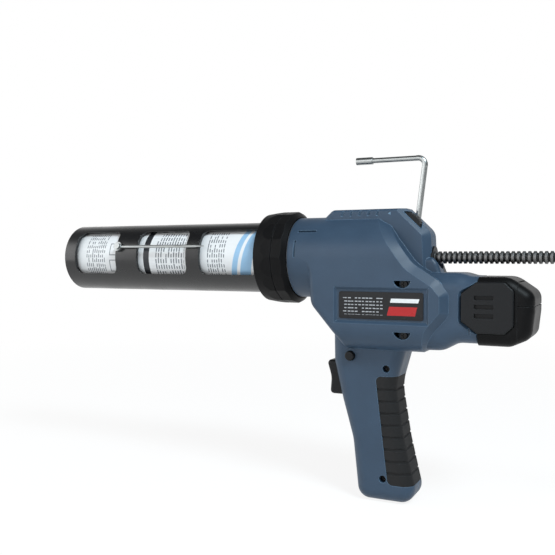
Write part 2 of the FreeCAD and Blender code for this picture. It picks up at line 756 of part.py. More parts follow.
def rack():
    """Round rack: rings of teeth along the rod, with a space over the pinion's top tooth."""
    lean = math.tan(math.radians(PRESSURE_ANGLE))
    half = RACK_PITCH / 4 - GEAR_PLAY / 2 + RACK_SPREAD / 2
    tip_half = half - (RACK_R - RACK_PITCH_R) * lean
    root_half = half + (RACK_PITCH_R - RACK_ROOT_R) * lean
    first = PINION_X + RACK_PITCH / 2
    back = math.floor((first - root_half - HUB_REAR) / RACK_PITCH)
    centre = first - back * RACK_PITCH
    points = [(PLUNGER_REAR, 0), (PLUNGER_REAR, RACK_ROOT_R)]
    while centre + root_half < RACK_REAR:
        points += [(centre - root_half, RACK_ROOT_R), (centre - tip_half, RACK_R),
                   (centre + tip_half, RACK_R), (centre + root_half, RACK_ROOT_R)]
        centre += RACK_PITCH
    points += [(RACK_REAR + KNOB_LENGTH / 2, RACK_ROOT_R), (RACK_REAR + KNOB_LENGTH / 2, 0)]
    hole = rod_x(PLUNGER_REAR, PLUNGER_REAR + PLUNGER_SCREW, PLUNGER_SCREW_R + FIT_GAP)
    return turned(points).cut(hole)


def rack_knob():
    """Pull knob pressed on the rack's rear end."""
    rear = RACK_REAR + KNOB_LENGTH
    knob = turned((
        (RACK_REAR, 0), (RACK_REAR, KNOB_NECK_R), (RACK_REAR + KNOB_LENGTH / 4, KNOB_NECK_R),
        (RACK_REAR + KNOB_LENGTH / 2, KNOB_R), (rear - KNOB_EDGE, KNOB_R),
        (rear, KNOB_R - KNOB_EDGE), (rear, 0),
    ))
    return knob.cut(rod_x(RACK_REAR, RACK_REAR + KNOB_LENGTH / 2, RACK_ROOT_R))


def plunger_disc():
    """Disc and hub screwed to the front of the rack."""
    radius = CARTRIDGE_BORE_R - PLUNGER_GAP
    disc = turned((
        (PISTON_REAR, 0), (PISTON_REAR, radius), (PLUNGER_REAR, radius), (PLUNGER_REAR, PLUNGER_HUB_R),
        (HUB_REAR, PLUNGER_HUB_R), (HUB_REAR, 0),
    ))
    disc = disc.cut(rod_x(PLUNGER_REAR, HUB_REAR, RACK_ROOT_R + FIT_GAP))
    disc = disc.cut(rod_x(PISTON_REAR, PLUNGER_REAR, PLUNGER_SCREW_R + FIT_GAP))
    return disc.cut(rod_x(PISTON_REAR, PISTON_REAR + PLUNGER_HEAD, PLUNGER_HEAD_R + SEAT_GAP))


def plunger_screw():
    """Screw through the plunger disc into the rack."""
    head = rod_x(PISTON_REAR + SEAT_GAP, PISTON_REAR + PLUNGER_HEAD, PLUNGER_HEAD_R)
    shank = rod_x(PISTON_REAR + PLUNGER_HEAD, PLUNGER_REAR + PLUNGER_SCREW - SLIDE_GAP, PLUNGER_SCREW_R)
    corners = [(PLUNGER_HEX_R * math.cos(math.pi * k / 3), PLUNGER_HEX_R * math.sin(math.pi * k / 3), 0)
               for k in range(6)]
    drive = bar(corners, PISTON_REAR, PISTON_REAR + PLUNGER_HEAD / 2)
    return head.fuse(shank).removeSplitter().cut(drive)


SPUR_DIRECTION = math.degrees(math.atan2(PINION_Z - LAY_Z, LAY_X - PINION_X))
LAY_PHASE = mating_phase(LAY_TEETH, SPUR_TEETH, 0, SPUR_DIRECTION)


def drive_pinion():
    """Pinion under the rack, with a tooth straight up."""
    half = PINION_WIDTH / 2
    return spur_gear_y(PINION_TEETH, RACK_MODULE, -90, PINION_X, PINION_Z, -half, half,
                       PINION_SHAFT_R + FIT_GAP, RACK_TIP, RACK_ROOT, GEAR_PLAY + RACK_SPREAD)


def drive_gear():
    """Large spur gear beside the rack, on the pinion's shaft."""
    gear = spur_gear_y(SPUR_TEETH, SPUR_MODULE, 0, PINION_X, PINION_Z, SPUR_Y, SPUR_Y + SPUR_WIDTH,
                       PINION_SHAFT_R + FIT_GAP)
    floor = SPUR_Y + SPUR_WIDTH / 3
    groove = rod_y(SPUR_Y, floor, SPUR_PITCH_R - 4 * SPUR_MODULE, PINION_X, PINION_Z)
    groove = groove.cut(rod_y(SPUR_Y, floor, PINION_SHAFT_R + 2 * BUSH_WALL, PINION_X, PINION_Z))
    return gear.cut(groove)


def lay_pinion():
    """Small spur gear that turns the large one."""
    return spur_gear_y(LAY_TEETH, SPUR_MODULE, LAY_PHASE, LAY_X, LAY_Z, SPUR_Y, SPUR_Y + SPUR_WIDTH,
                       LAY_SHAFT_R + FIT_GAP)


def bevel(phase, place):
    """Half of a mitre pair: a gear outline drawn in towards the point where the two shafts cross."""
    small = (BEVEL_PITCH_R - BEVEL_FACE) / BEVEL_PITCH_R
    outlines = []
    for share in (1.0, small):
        flat = gear_points(BEVEL_TEETH, BEVEL_MODULE, GEAR_TIP, GEAR_ROOT, 2 * GEAR_PLAY, phase)
        ring = [place(share * BEVEL_PITCH_R, share * u, share * v) for u, v in flat]
        outlines.append(Part.makePolygon(ring + [ring[0]]))
    return Part.makeLoft(outlines, True, True)


def bevel_gear():
    """Bevel gear on the lay shaft, its teeth towards the tool's middle."""
    teeth = bevel(0, lambda out, u, v: vec(LAY_X + u, out, LAY_Z - v))
    hub = rod_y(BEVEL_PITCH_R, BEVEL_PITCH_R + BEVEL_HUB, LAY_SHAFT_R + BUSH_WALL, LAY_X, LAY_Z)
    bore = rod_y(0, BEVEL_PITCH_R + BEVEL_HUB, LAY_SHAFT_R + FIT_GAP, LAY_X, LAY_Z)
    return teeth.fuse(hub).removeSplitter().cut(bore)


def bevel_pinion():
    """Bevel pinion on the gearbox's output shaft."""
    half_tooth = 180 / BEVEL_TEETH
    teeth = bevel(half_tooth, lambda out, u, v: vec(LAY_X + out, u, MOTOR_Z + v))
    back = CASE_FRONT - SLIDE_GAP
    hub = rod_x(LAY_X + BEVEL_PITCH_R, back, OUTPUT_SHAFT_R + BUSH_WALL / 2, 0, MOTOR_Z)
    bore = rod_x(LAY_X, back, OUTPUT_SHAFT_R + FIT_GAP, 0, MOTOR_Z)
    return teeth.fuse(hub).removeSplitter().cut(bore)


def cross_shaft(radius, x, z):
    reach = FRAME_OUTSIDE + BUSH_LENGTH / 2
    return rod_y(-reach, reach, radius, x, z)


def shaft_bushes(radius, x, z):
    """A pair of plain bushes in the frame plates."""
    low, high = FRAME_INSIDE, FRAME_INSIDE + BUSH_LENGTH
    bush = rod_y(low, high, radius + BUSH_WALL, x, z).cut(rod_y(low, high, radius + FIT_GAP, x, z))
    return Part.makeCompound([bush, mirrored(bush)])


def frame_plate(side):
    """Steel plate that carries the ends of both cross shafts."""
    low, high = sorted((side * FRAME_INSIDE, side * FRAME_OUTSIDE))
    plate = slab(FRAME_OUTLINE, low, high)
    for radius, x, z in ((PINION_SHAFT_R, PINION_X, PINION_Z), (LAY_SHAFT_R, LAY_X, LAY_Z)):
        plate = plate.cut(rod_y(low, high, radius + BUSH_WALL + FIT_GAP, x, z))
    for x, z in POST_SPOTS:
        plate = plate.cut(rod_y(low, high, POST_R / 2 + FIT_GAP, x, z))
    return plate


def frame_posts():
    """Spacer posts between the two plates, with stepped ends that reach through them."""
    posts = []
    for x, z in POST_SPOTS:
        middle = rod_y(-FRAME_INSIDE, FRAME_INSIDE, POST_R, x, z)
        ends = rod_y(-FRAME_OUTSIDE, FRAME_OUTSIDE, POST_R / 2, x, z)
        posts.append(middle.fuse(ends).removeSplitter())
    return Part.makeCompound(posts)


def rack_rest():
    """Block on the right plate that holds the rack down on the pinion."""
    half = PINION_SHAFT_R + BUSH_WALL
    top = FRAME_OUTLINE[0][1] - WALL
    left = SPUR_Y + SPUR_WIDTH + REST_CLEARANCE
    body = block((PINION_X - half, PINION_X + half), (left, FRAME_INSIDE), (RACK_R / 2, top))
    return body.cut(rod_x(PINION_X - half, PINION_X + half, RACK_R + SLIDE_GAP))


def gearbox_case():
    """Cup round the planet gears, with the output bush's seat in its front wall."""
    inside = CASE_FRONT + CASE_FRONT_WALL
    case = rod_x(CASE_FRONT, CASE_REAR, CASE_R, 0, MOTOR_Z)
    case = case.cut(rod_x(inside, CASE_REAR, RING_R + SEAT_GAP, 0, MOTOR_Z))
    return case.cut(rod_x(CASE_FRONT, inside, OUTPUT_SHAFT_R + BUSH_WALL + FIT_GAP, 0, MOTOR_Z))


def output_bush():
    rear = CASE_FRONT + CASE_FRONT_WALL
    return tube_x(CASE_FRONT, rear, OUTPUT_SHAFT_R + BUSH_WALL, OUTPUT_SHAFT_R + FIT_GAP, 0, MOTOR_Z)


def planet_angle(index):
    return 90 + 360 * index / PLANETS


def planet_phase(index):
    return mating_phase(PLANET_TEETH, SUN_TEETH, 0, planet_angle(index))


def ring_gear():
    """Ring with inward teeth, fixed in the gearbox case; its spaces have a gear tooth's outline."""
    angle = planet_angle(0)
    phase = angle - PLANET_TEETH * (angle - planet_phase(0)) / RING_TEETH
    ring = rod_x(PLANET_FRONT, CASE_REAR - SLIDE_GAP, RING_R, 0, MOTOR_Z)
    face = gear_face(RING_TEETH, PLANET_MODULE, phase, lambda u, v: vec(PLANET_FRONT, u, MOTOR_Z + v),
                     GEAR_ROOT, GEAR_TIP, -GEAR_PLAY)
    return ring.cut(face.extrude(vec(CASE_REAR - PLANET_FRONT, 0, 0)))


def planet_gear(index):
    angle = math.radians(planet_angle(index))
    y, z = CARRIER_R * math.cos(angle), MOTOR_Z + CARRIER_R * math.sin(angle)
    gear = spur_gear_x(PLANET_TEETH, PLANET_MODULE, planet_phase(index), y, z, PLANET_FRONT, PLANET_REAR)
    return gear.cut(rod_x(PLANET_FRONT, PLANET_REAR, PLANET_PIN_R + FIT_GAP, y, z))


def planet_carrier():
    """Disc with the planets' pins behind it and the output shaft in front."""
    disc = rod_x(CARRIER_FRONT, CARRIER_FRONT + CARRIER_THICK, CARRIER_R + 2 * PLANET_PIN_R, 0, MOTOR_Z)
    front = LAY_X + BEVEL_PITCH_R - BEVEL_FACE
    parts = [rod_x(front, CARRIER_FRONT, OUTPUT_SHAFT_R, 0, MOTOR_Z)]
    for index in range(PLANETS):
        angle = math.radians(planet_angle(index))
        parts.append(rod_x(CARRIER_FRONT, PLANET_REAR + SLIDE_GAP, PLANET_PIN_R,
                           CARRIER_R * math.cos(angle), MOTOR_Z + CARRIER_R * math.sin(angle)))
    return disc.fuse(parts).removeSplitter()


def sun_gear():
    """Sun gear on the motor's shaft."""
    gear = spur_gear_x(SUN_TEETH, PLANET_MODULE, 0, 0, MOTOR_Z, PLANET_FRONT, PLANET_REAR)
    return gear.cut(rod_x(PLANET_FRONT, PLANET_REAR, MOTOR_SHAFT_R + FIT_GAP, 0, MOTOR_Z))


def motor_can():
    """Steel can that closes the gearbox and holds the rotor's front bearing."""
    can = rod_x(CASE_REAR, MOTOR_REAR - MOTOR_CAP, MOTOR_R, 0, MOTOR_Z)
    flange = rod_x(CASE_REAR, CASE_REAR + MOTOR_CAP, CASE_R, 0, MOTOR_Z)
    hollow = rod_x(CASE_REAR + MOTOR_CAP, MOTOR_REAR - MOTOR_CAP, MOTOR_R - MOTOR_WALL, 0, MOTOR_Z)
    bore = rod_x(CASE_REAR, CASE_REAR + MOTOR_CAP, MOTOR_SHAFT_R + FIT_GAP, 0, MOTOR_Z)
    return can.fuse(flange).removeSplitter().cut(hollow).cut(bore)


def motor_cap():
    """Plastic end cap with the rear bearing."""
    cap = rod_x(MOTOR_REAR - MOTOR_CAP, MOTOR_REAR, MOTOR_R, 0, MOTOR_Z)
    return cap.cut(rod_x(MOTOR_REAR - MOTOR_CAP, MOTOR_REAR, MOTOR_SHAFT_R + FIT_GAP, 0, MOTOR_Z))


def motor_rotor():
    """Shaft, wound core and commutator."""
    start = CASE_REAR + MOTOR_CAP + ROTOR_INSET
    end = start + ROTOR_LENGTH
    core = rod_x(start, end, ROTOR_R, 0, MOTOR_Z)
    for index in range(ROTOR_SLOTS):
        angle = 2 * math.pi * index / ROTOR_SLOTS
        y, z = ROTOR_R * math.cos(angle), MOTOR_Z + ROTOR_R * math.sin(angle)
        core = core.cut(rod_x(start, end, ROTOR_SLOT_R, y, z))
    commutator = rod_x(start, end + COMMUTATOR_LENGTH, COMMUTATOR_R, 0, MOTOR_Z)
    shaft = rod_x(PLANET_FRONT, MOTOR_REAR, MOTOR_SHAFT_R, 0, MOTOR_Z)
    return core.fuse([commutator, shaft]).removeSplitter()


def sleeve_section(depth):
    """Outline across the sleeve, drawn in by a depth."""
    middle = (SLEEVE_TOP + SLEEVE_BOTTOM) / 2
    half_height = (SLEEVE_TOP - SLEEVE_BOTTOM) / 2
    return rectangle(0, middle, SLEEVE_HALF - depth, half_height - depth, SLEEVE_CORNER - depth)


def terminal_block():
    """Block across the sleeve's mouth with the sockets for the battery's blades."""
    body = bar(sleeve_section(SLEEVE_WALL + SEAT_GAP), TERMINAL_FRONT, TERMINAL_REAR)
    for y in BLADE_SPOTS:
        body = body.cut(block((TERMINAL_FRONT, TERMINAL_REAR), (y - BLADE_THICK, y + BLADE_THICK),
                              (STICK_Z - BLADE_HEIGHT, STICK_Z + BLADE_HEIGHT)))
    return body


def stick_section(depth):
    return sleeve_section(SLEEVE_WALL + STICK_GAP + depth)


def battery_form(depth):
    """Outside of the battery behind the sleeve, drawn in by a depth."""
    half = BATTERY_HALF - depth
    form = slab(inset(BATTERY_OUTLINE, depth), -half, half)
    front = BATTERY_FRONT + depth + NEAR
    soft = edges_where(form, lambda p, t: abs(abs(p.y) - half) < NEAR and p.x > front)
    return form.makeFillet(BATTERY_SOFT - depth, soft)


def battery_hollow():
    inside = inset(BATTERY_OUTLINE, 1.5 * BATTERY_WALL)
    core = slab(inside, -BATTERY_HALF + 3 * BATTERY_WALL, BATTERY_HALF - 3 * BATTERY_WALL)
    stick = bar(stick_section(BATTERY_WALL), STICK_FRONT + BATTERY_WALL, BATTERY_CAP_X)
    return core.fuse(stick)


def latch_pocket(gap, low, high):
    """Space of the left latch button."""
    return slab(inset(LATCH_OUTLINE, -gap), low, high)


def battery_case():
    """Stick that goes into the sleeve and the body behind it, open at the rear cap."""
    stick = bar(stick_section(0), STICK_FRONT, BATTERY_FRONT + BATTERY_WALL)
    body = battery_form(0).common(block((BATTERY_FRONT, BATTERY_CAP_X), (-BATTERY_HALF, BATTERY_HALF),
                                       (BATTERY_BASE, BATTERY_TOP)))
    case = body.fuse(stick).removeSplitter().cut(battery_hollow())
    pocket = latch_pocket(SLIDE_GAP, -BATTERY_HALF - LATCH_PROUD, -BATTERY_HALF + LATCH_THICK)
    case = case.cut(pocket).cut(mirrored(pocket))
    for y in BLADE_SPOTS:
        case = case.cut(block((STICK_FRONT, STICK_FRONT + BATTERY_WALL),
                              (y - BLADE_THICK / 2, y + BLADE_THICK / 2),
                              (STICK_Z - BLADE_HEIGHT / 2, STICK_Z + BLADE_HEIGHT / 2)))
    return case


def battery_cap():
    """Rear end of the battery, with a fine line round its middle."""
    form = battery_form(0).common(block((BATTERY_CAP_X, BATTERY_REAR), (-BATTERY_HALF, BATTERY_HALF),
                                        (BATTERY_BASE, BATTERY_TOP)))
    line = block((BATTERY_CAP_X, BATTERY_REAR), (-BATTERY_HALF, BATTERY_HALF),
                 (CAP_LINE_Z - CAP_LINE_WIDTH / 2, CAP_LINE_Z + CAP_LINE_WIDTH / 2))
    return form.cut(battery_hollow()).cut(line.cut(battery_form(CAP_LINE_DEPTH)))


def battery_cells():
    """Three round cells side by side."""
    offset = (CELL_R + CELL_GAP) / math.cos(math.radians(30))
    cells = []
    for index in range(CELLS):
        angle = math.radians(90 + 360 * index / CELLS)
        y, z = offset * math.cos(angle), STICK_Z - offset / 4 + offset * math.sin(angle)
        cell = rod_x(CELL_FRONT, CELL_FRONT + CELL_LENGTH, CELL_R, y, z)
        nub = rod_x(CELL_FRONT - CELL_NUB, CELL_FRONT, CELL_NUB_R, y, z)
        cells.append(cell.fuse(nub).removeSplitter())
    return Part.makeCompound(cells)


def battery_blades():
    """Three contact blades that stand out of the stick's front wall."""
    blades = []
    for y in BLADE_SPOTS:
        blades.append(block((STICK_FRONT - BLADE_LENGTH / 2, STICK_FRONT + BATTERY_WALL),
                            (y - BLADE_THICK / 2, y + BLADE_THICK / 2),
                            (STICK_Z - BLADE_HEIGHT / 2, STICK_Z + BLADE_HEIGHT / 2)))
    return Part.makeCompound(blades)


def latch_button():
    """Octagonal press button on the battery's left side, with three grooves across it."""
    outer = -BATTERY_HALF - LATCH_PROUD
    inner = -BATTERY_HALF + LATCH_THICK - LATCH_TRAVEL - SLIDE_GAP
    button = slab(LATCH_OUTLINE, outer, inner)
    rim = edges_where(button, lambda p, t: abs(p.y - outer) < NEAR)
    button = button.makeFillet(LATCH_PROUD / 2, rim)
    half_length, half_height = LATCH_GROOVE_LENGTH / 2, LATCH_GROOVE_HEIGHT / 2
    for index in range(LATCH_GROOVES):
        z = LATCH_GROOVE_Z + (index - (LATCH_GROOVES - 1) / 2) * LATCH_GROOVE_PITCH
        outline = rectangle(LATCH_GROOVE_X, z, half_length, half_height, half_height / 2)
        button = button.cut(slab(outline, outer, outer + LATCH_GROOVE_DEPTH))
    return button


def section_stadium(depth):
    """Outline across the body: a half round on the drive axis over straight sides."""
    half = BODY_HALF - depth
    bottom = BODY_BOTTOM + depth
    corner = BODY_BOTTOM_R - depth
    return ((-half, half, half), (-half, bottom, corner), (half, bottom, corner), (half, half, half))


def bevel_inside(bevel, depth):
    """Bevel of a square corner whose faces all lie deeper by the same amount."""
    return bevel - depth * (2 - math.sqrt(2))


def body_form(depth):
    """Main body: its side outline held within its cross section."""
    half = BODY_HALF - depth
    form = slab(inset(BODY_OUTLINE, depth), -half, half)
    form = form.common(bar(section_stadium(depth), NOSE_FRONT, SLEEVE_REAR))
    rear = edges_where(form, lambda p, t: p.x > GRIP_X and slanted(t))
    form = form.makeChamfer(bevel_inside(BODY_REAR_BEVEL, depth), rear)
    if depth > 0:
        return form
    brow_x, brow_z = BODY_OUTLINE[2][:2]
    front = edges_where(form, lambda p, t: brow_x - WALL < p.x < GRIP_X and p.z < brow_z and slanted(t))
    return form.makeFillet(BODY_FRONT_SOFT, front)


def spine_form(depth):
    """Ridge along the top, bevelled at its rear where the rack comes out."""
    half = SPINE_HALF - depth
    outline = inset(SPINE_OUTLINE, depth)
    form = slab(outline, -half, half)
    rear = edges_where(form, lambda p, t: abs(abs(p.y) - half) < NEAR and p.x > outline[2][0] + NEAR)
    form = form.makeChamfer(bevel_inside(SPINE_REAR_BEVEL, depth), rear)
    if depth > 0:
        return form
    top = edges_where(form, lambda p, t: abs(abs(p.y) - half) < NEAR and p.z > BODY_HALF)
    return form.makeFillet(SPINE_TOP_SOFT, top)


def handle_form(depth):
    half = HANDLE_HALF - depth
    form = slab(inset(HANDLE_OUTLINE, depth), -half, half)
    top = HANDLE_OUTLINE[0][1] - depth
    soft = edges_where(form, lambda p, t: abs(abs(p.y) - half) < NEAR and p.z < top - NEAR)
    return form.makeFillet(HANDLE_SOFT - depth, soft)


def sleeve_form():
    """Narrow rear end of the housing round the battery's stick."""
    form = slab(SLEEVE_OUTLINE, -SLEEVE_HALF, SLEEVE_HALF)
    along = edges_where(form, lambda p, t: abs(abs(p.y) - SLEEVE_HALF) < NEAR and abs(t.x) > abs(t.z))
    form = form.makeFillet(SLEEVE_CORNER, along)
    mouth = edges_where(form, lambda p, t: abs(p.x - SLEEVE_REAR) < NEAR)
    return form.makeFillet(SLEEVE_EDGE, mouth)


def saddle_form():
    """Rise from the sleeve's top to the rack's way out."""
    form = slab(SADDLE_OUTLINE, -SADDLE_HALF, SADDLE_HALF)
    rear = edges_where(form, lambda p, t: abs(abs(p.y) - SADDLE_HALF) < NEAR and p.x > SPINE_REAR)
    return form.makeFillet(SADDLE_SOFT, rear)


def outer_form():
    """The whole housing before it is hollowed."""
    nose = rod_x(NOSE_FRONT, NOSE_FRONT + NOSE_REACH, NOSE_R)
    return body_form(0).fuse([nose, spine_form(0), handle_form(0), sleeve_form(), saddle_form()])


def cradle(x, radius):
    """Rib across the lower body that hugs the gearbox or the motor."""
    rib = block((x, x + CRADLE_THICK), (-BODY_HALF, BODY_HALF), (BODY_BOTTOM, MOTOR_Z + CASE_R + WALL))
    return rib.cut(rod_x(x, x + CRADLE_THICK, radius + SEAT_GAP, 0, MOTOR_Z))


def screw_bosses():
    return [rod_y(-BODY_HALF, BODY_HALF, BOSS_R, x, z) for x, z in BODY_SCREWS + HANDLE_SCREWS]


def frame_bosses():
    """Stubs on both side walls that the frame plates rest against."""
    stubs = []
    for x, z in POST_SPOTS:
        stub = rod_y(FRAME_OUTSIDE, BODY_HALF, POST_R + WALL / 2, x, z)
        stubs += [stub, mirrored(stub)]
    return stubs


def switch_seats():
    """Pads on the handle's walls that hold the switch."""
    low = SWITCH_BOTTOM + SWITCH_HALF
    pad = block((SWITCH_FRONT + WALL, SWITCH_FRONT + SWITCH_LENGTH - WALL),
                (SWITCH_HALF + SEAT_GAP, HANDLE_HALF), (low, low + SWITCH_HALF))
    return [pad, mirrored(pad)]


def dial_boss():
    reach = DIAL_R + 2 * WALL
    return block((DIAL_X - reach, SPINE_REAR), (-SPINE_HALF, 0), (DIAL_Z - reach, SPINE_TOP))


def hook_boss():
    return block((HOOK_FOOT_X - 4 * HOOK_R, SPINE_REAR), (HOOK_Y - 2 * HOOK_R, SPINE_HALF),
                 (HOOK_FOOT_Z - HOOK_DEPTH - WALL, SPINE_TOP))


def hollow():
    """The space inside the housing, less its ribs, bosses and seats."""
    body = body_form(WALL).common(block((NOSE_FRONT, TERMINAL_FRONT), (-BODY_HALF, BODY_HALF),
                                        (BODY_BOTTOM, BODY_HALF)))
    nose = rod_x(NOSE_FRONT, NOSE_FRONT + NOSE_REACH, NOSE_BORE_R)
    bore = bar(sleeve_section(SLEEVE_WALL), TERMINAL_FRONT, SLEEVE_REAR)
    gear_room = rod_y(SPUR_Y - SLIDE_GAP, SPUR_Y + SPUR_WIDTH + SLIDE_GAP,
                      SPUR_PITCH_R + GEAR_TIP * SPUR_MODULE + 2 * SLIDE_GAP, PINION_X, PINION_Z)
    space = body.fuse([nose, spine_form(WALL), handle_form(WALL), bore, gear_room])
    rear_seat = rod_x(SPINE_REAR - 4 * WALL, SPINE_REAR, BUSH_R + WALL)
    keep = screw_bosses() + frame_bosses() + switch_seats() + [rear_seat, dial_boss(), hook_boss()]
    keep += [cradle(CASE_REAR - CRADLE_THICK - WALL, CASE_R), cradle((CASE_REAR + MOTOR_REAR) / 2, MOTOR_R)]
    return space.cut(keep)


def rack_way():
    """Bush seat in the spine's rear wall and the way for its flange."""
    seat = rod_x(SPINE_REAR - 4 * WALL, SPINE_REAR, BUSH_R + SEAT_GAP)
    return seat.fuse(rod_x(SPINE_REAR - REAR_FLANGE_SINK, SLEEVE_REAR, REAR_FLANGE_R + SEAT_GAP))


def dial_slot():
    """Slot for the dial and the holes for its axle."""
    half = DIAL_WIDTH / 2 + SLIDE_GAP
    slot = rod_y(DIAL_Y - half, DIAL_Y + half, DIAL_R + DIAL_RIB + 2 * SLIDE_GAP, DIAL_X, DIAL_Z)
    low, high = DIAL_Y - half - WALL / 2, DIAL_Y + half + WALL / 2
    return slot.fuse(rod_y(low, high, DIAL_PIN_R + FIT_GAP, DIAL_X, DIAL_Z))


def hook_line():
    """Foot of the hook's leg and its direction."""
    lean = math.radians(HOOK_LEAN)
    return vec(HOOK_FOOT_X, HOOK_Y, HOOK_FOOT_Z), vec(math.sin(lean), 0, math.cos(lean))


def hook_bore():
    foot, up = hook_line()
    return Part.makeCylinder(HOOK_R + FIT_GAP, HOOK_DEPTH + SPINE_TOP, foot - up * HOOK_DEPTH, up)


def trigger_slot():
    half = TRIGGER_HALF + SLIDE_GAP
    return block((HANDLE_OUTLINE[0][0] - WALL, TRIGGER_REAR), (-half, half),
                 (TRIGGER_BOTTOM - SLIDE_GAP, TRIGGER_TOP + SLIDE_GAP))


def bar_hole():
    return rod_y(-BODY_HALF, BODY_HALF, BAR_R + SLIDE_GAP, BAR_X, BAR_Z)


def pad_region():
    """Where the grip pad covers the handle's back."""
    return slab(PAD_OUTLINE, -HANDLE_HALF, HANDLE_HALF)


def screw_way(x, z, half):
    """Hole for one housing screw's shank."""
    return rod_y(-half + SCREW_SINK, SCREW_GRIP, SCREW_R + FIT_GAP, x, z)


def moon_recess(x, z):
    """Recess with a flat top and a round bottom over a body screw."""
    radius = (MOON_HALF ** 2 + MOON_HEIGHT ** 2) / (2 * MOON_HEIGHT)
    top = z + MOON_HEIGHT / 2
    disc = rod_y(-BODY_HALF, -BODY_HALF + SCREW_SINK, radius, x, top - MOON_HEIGHT + radius)
    return disc.common(block((x - radius, x + radius), (-BODY_HALF, 0), (top - MOON_HEIGHT, top)))


def plate_recess():
    """Shallow recess with drafted walls for the name plate."""
    half_x = PLATE_LENGTH / 2 + RECESS_MARGIN_X
    half_z = PLATE_HEIGHT / 2 + RECESS_MARGIN_Z
    rings = []
    for y, grow in ((-BODY_HALF, 0), (-BODY_HALF + RECESS_DEPTH, -RECESS_DRAFT)):
        low_x, high_x = PLATE_X - half_x - grow, PLATE_X + half_x + grow
        low_z, high_z = PLATE_Z - half_z - grow, PLATE_Z + half_z + grow
        corners = [vec(low_x, y, low_z), vec(high_x, y, low_z), vec(high_x, y, high_z), vec(low_x, y, high_z)]
        rings.append(Part.makePolygon(corners + [corners[0]]))
    return Part.makeLoft(rings, True, True)


def nose_slits():
    """A pair of fine slits on the nose's left side, one along it and one across."""
    skin = tube_x(NOSE_FRONT, LAY_X, NOSE_R + SLIT_DEPTH, NOSE_R - SLIT_DEPTH)
    along = block(SLIT_ALONG, (-2 * NOSE_R, 0), (SLIT_ALONG_Z, SLIT_ALONG_Z + SLIT_WIDTH))
    across = block((SLIT_ACROSS_X, SLIT_ACROSS_X + SLIT_WIDTH), (-2 * NOSE_R, 0), SLIT_ACROSS)
    return skin.common(along.fuse(across))


def spine_grooves():
    """Short leaning notches of V section across both upper edges of the spine."""
    cuts = []
    for index in range(SPINE_GROOVES):
        x = SPINE_GROOVE_FIRST + index * SPINE_GROOVE_PITCH
        low = SPINE_TOP - SPINE_GROOVE_DROP
        corners = [vec(x, -SPINE_HALF, low), vec(x + SPINE_GROOVE_WIDTH, -SPINE_HALF, low),
                   vec(x + SPINE_GROOVE_WIDTH / 2, -SPINE_HALF + SPINE_GROOVE_DEPTH, low)]
        face = Part.Face(Part.makePolygon(corners + [corners[0]]))
        cut = face.extrude(vec(SPINE_GROOVE_LEAN, 0, SPINE_GROOVE_DROP))
        cuts += [cut, mirrored(cut)]
    return cuts


def latch_notch():
    """Opening at the sleeve's mouth for the front of the latch button, bevelled on its outside."""
    outline = inset(LATCH_OUTLINE, -2 * SLIDE_GAP)
    opening = slab(outline, -SLEEVE_HALF, -BATTERY_HALF + LATCH_THICK)
    rings = []
    for y, points in ((-SLEEVE_HALF, inset(outline, -LATCH_RIM)), (-SLEEVE_HALF + LATCH_RIM, outline)):
        rings.append(rounded_face(points, lambda p: vec(p.x, y, p.y)).OuterWire)
    return opening.fuse(Part.makeLoft(rings, True, True))


def sleeve_slit():
    """Short slit below the latch button on the sleeve's left side."""
    depth = (-SLEEVE_HALF, -SLEEVE_HALF + SLIT_DEPTH)
    return block((SLEEVE_SLIT_X, SLEEVE_SLIT_X + SLIT_WIDTH), depth, SLEEVE_SLIT_Z)


def seam():
    """Fine groove round the outside where the two shells meet."""
    half = SEAM_WIDTH / 2
    body = slab(inset(BODY_OUTLINE, SEAM_DEPTH), -half, half)
    low, high = BODY_BOTTOM + SEAM_DEPTH, BODY_HALF - SEAM_DEPTH
    core = [body.common(block((NOSE_FRONT, SLEEVE_REAR), (-half, half), (low, high)))]
    core.append(rod_x(NOSE_FRONT + SEAM_DEPTH, NOSE_FRONT + NOSE_REACH, NOSE_R - SEAM_DEPTH))
    for outline in (SPINE_OUTLINE, SLEEVE_OUTLINE, SADDLE_OUTLINE, HANDLE_OUTLINE):
        core.append(slab(inset(outline, SEAM_DEPTH), -half, half))
    reach = 2 * STROKE
    return block((-reach, reach), (-half, half), (-reach, reach)).cut(core)


def housing():
    """Left and right shells, parted on the tool's middle plane."""
    shell = outer_form().cut(hollow())
    notch = latch_notch()
    cuts = [rack_way(), dial_slot(), hook_bore(), trigger_slot(), bar_hole(), notch, mirrored(notch),
            pad_region().cut(handle_form(GRIP_PAD_DEPTH)), nose_slits(), plate_recess()]
    cuts += spine_grooves() + [sleeve_slit(), seam()]
    for x, z in BODY_SCREWS:
        cuts += [screw_way(x, z, BODY_HALF), moon_recess(x, z)]
    for x, z in HANDLE_SCREWS:
        seat = rod_y(-HANDLE_HALF, -HANDLE_HALF + SCREW_SINK, SCREW_HEAD_R + SLIDE_GAP, x, z)
        cuts += [screw_way(x, z, HANDLE_HALF), seat]
    shell = shell.cut(cuts)
    reach = 2 * STROKE
    left = shell.common(block((-reach, reach), (-reach, 0), (-reach, reach)))
    right = shell.common(block((-reach, reach), (0, reach), (-reach, reach)))
    return left, right


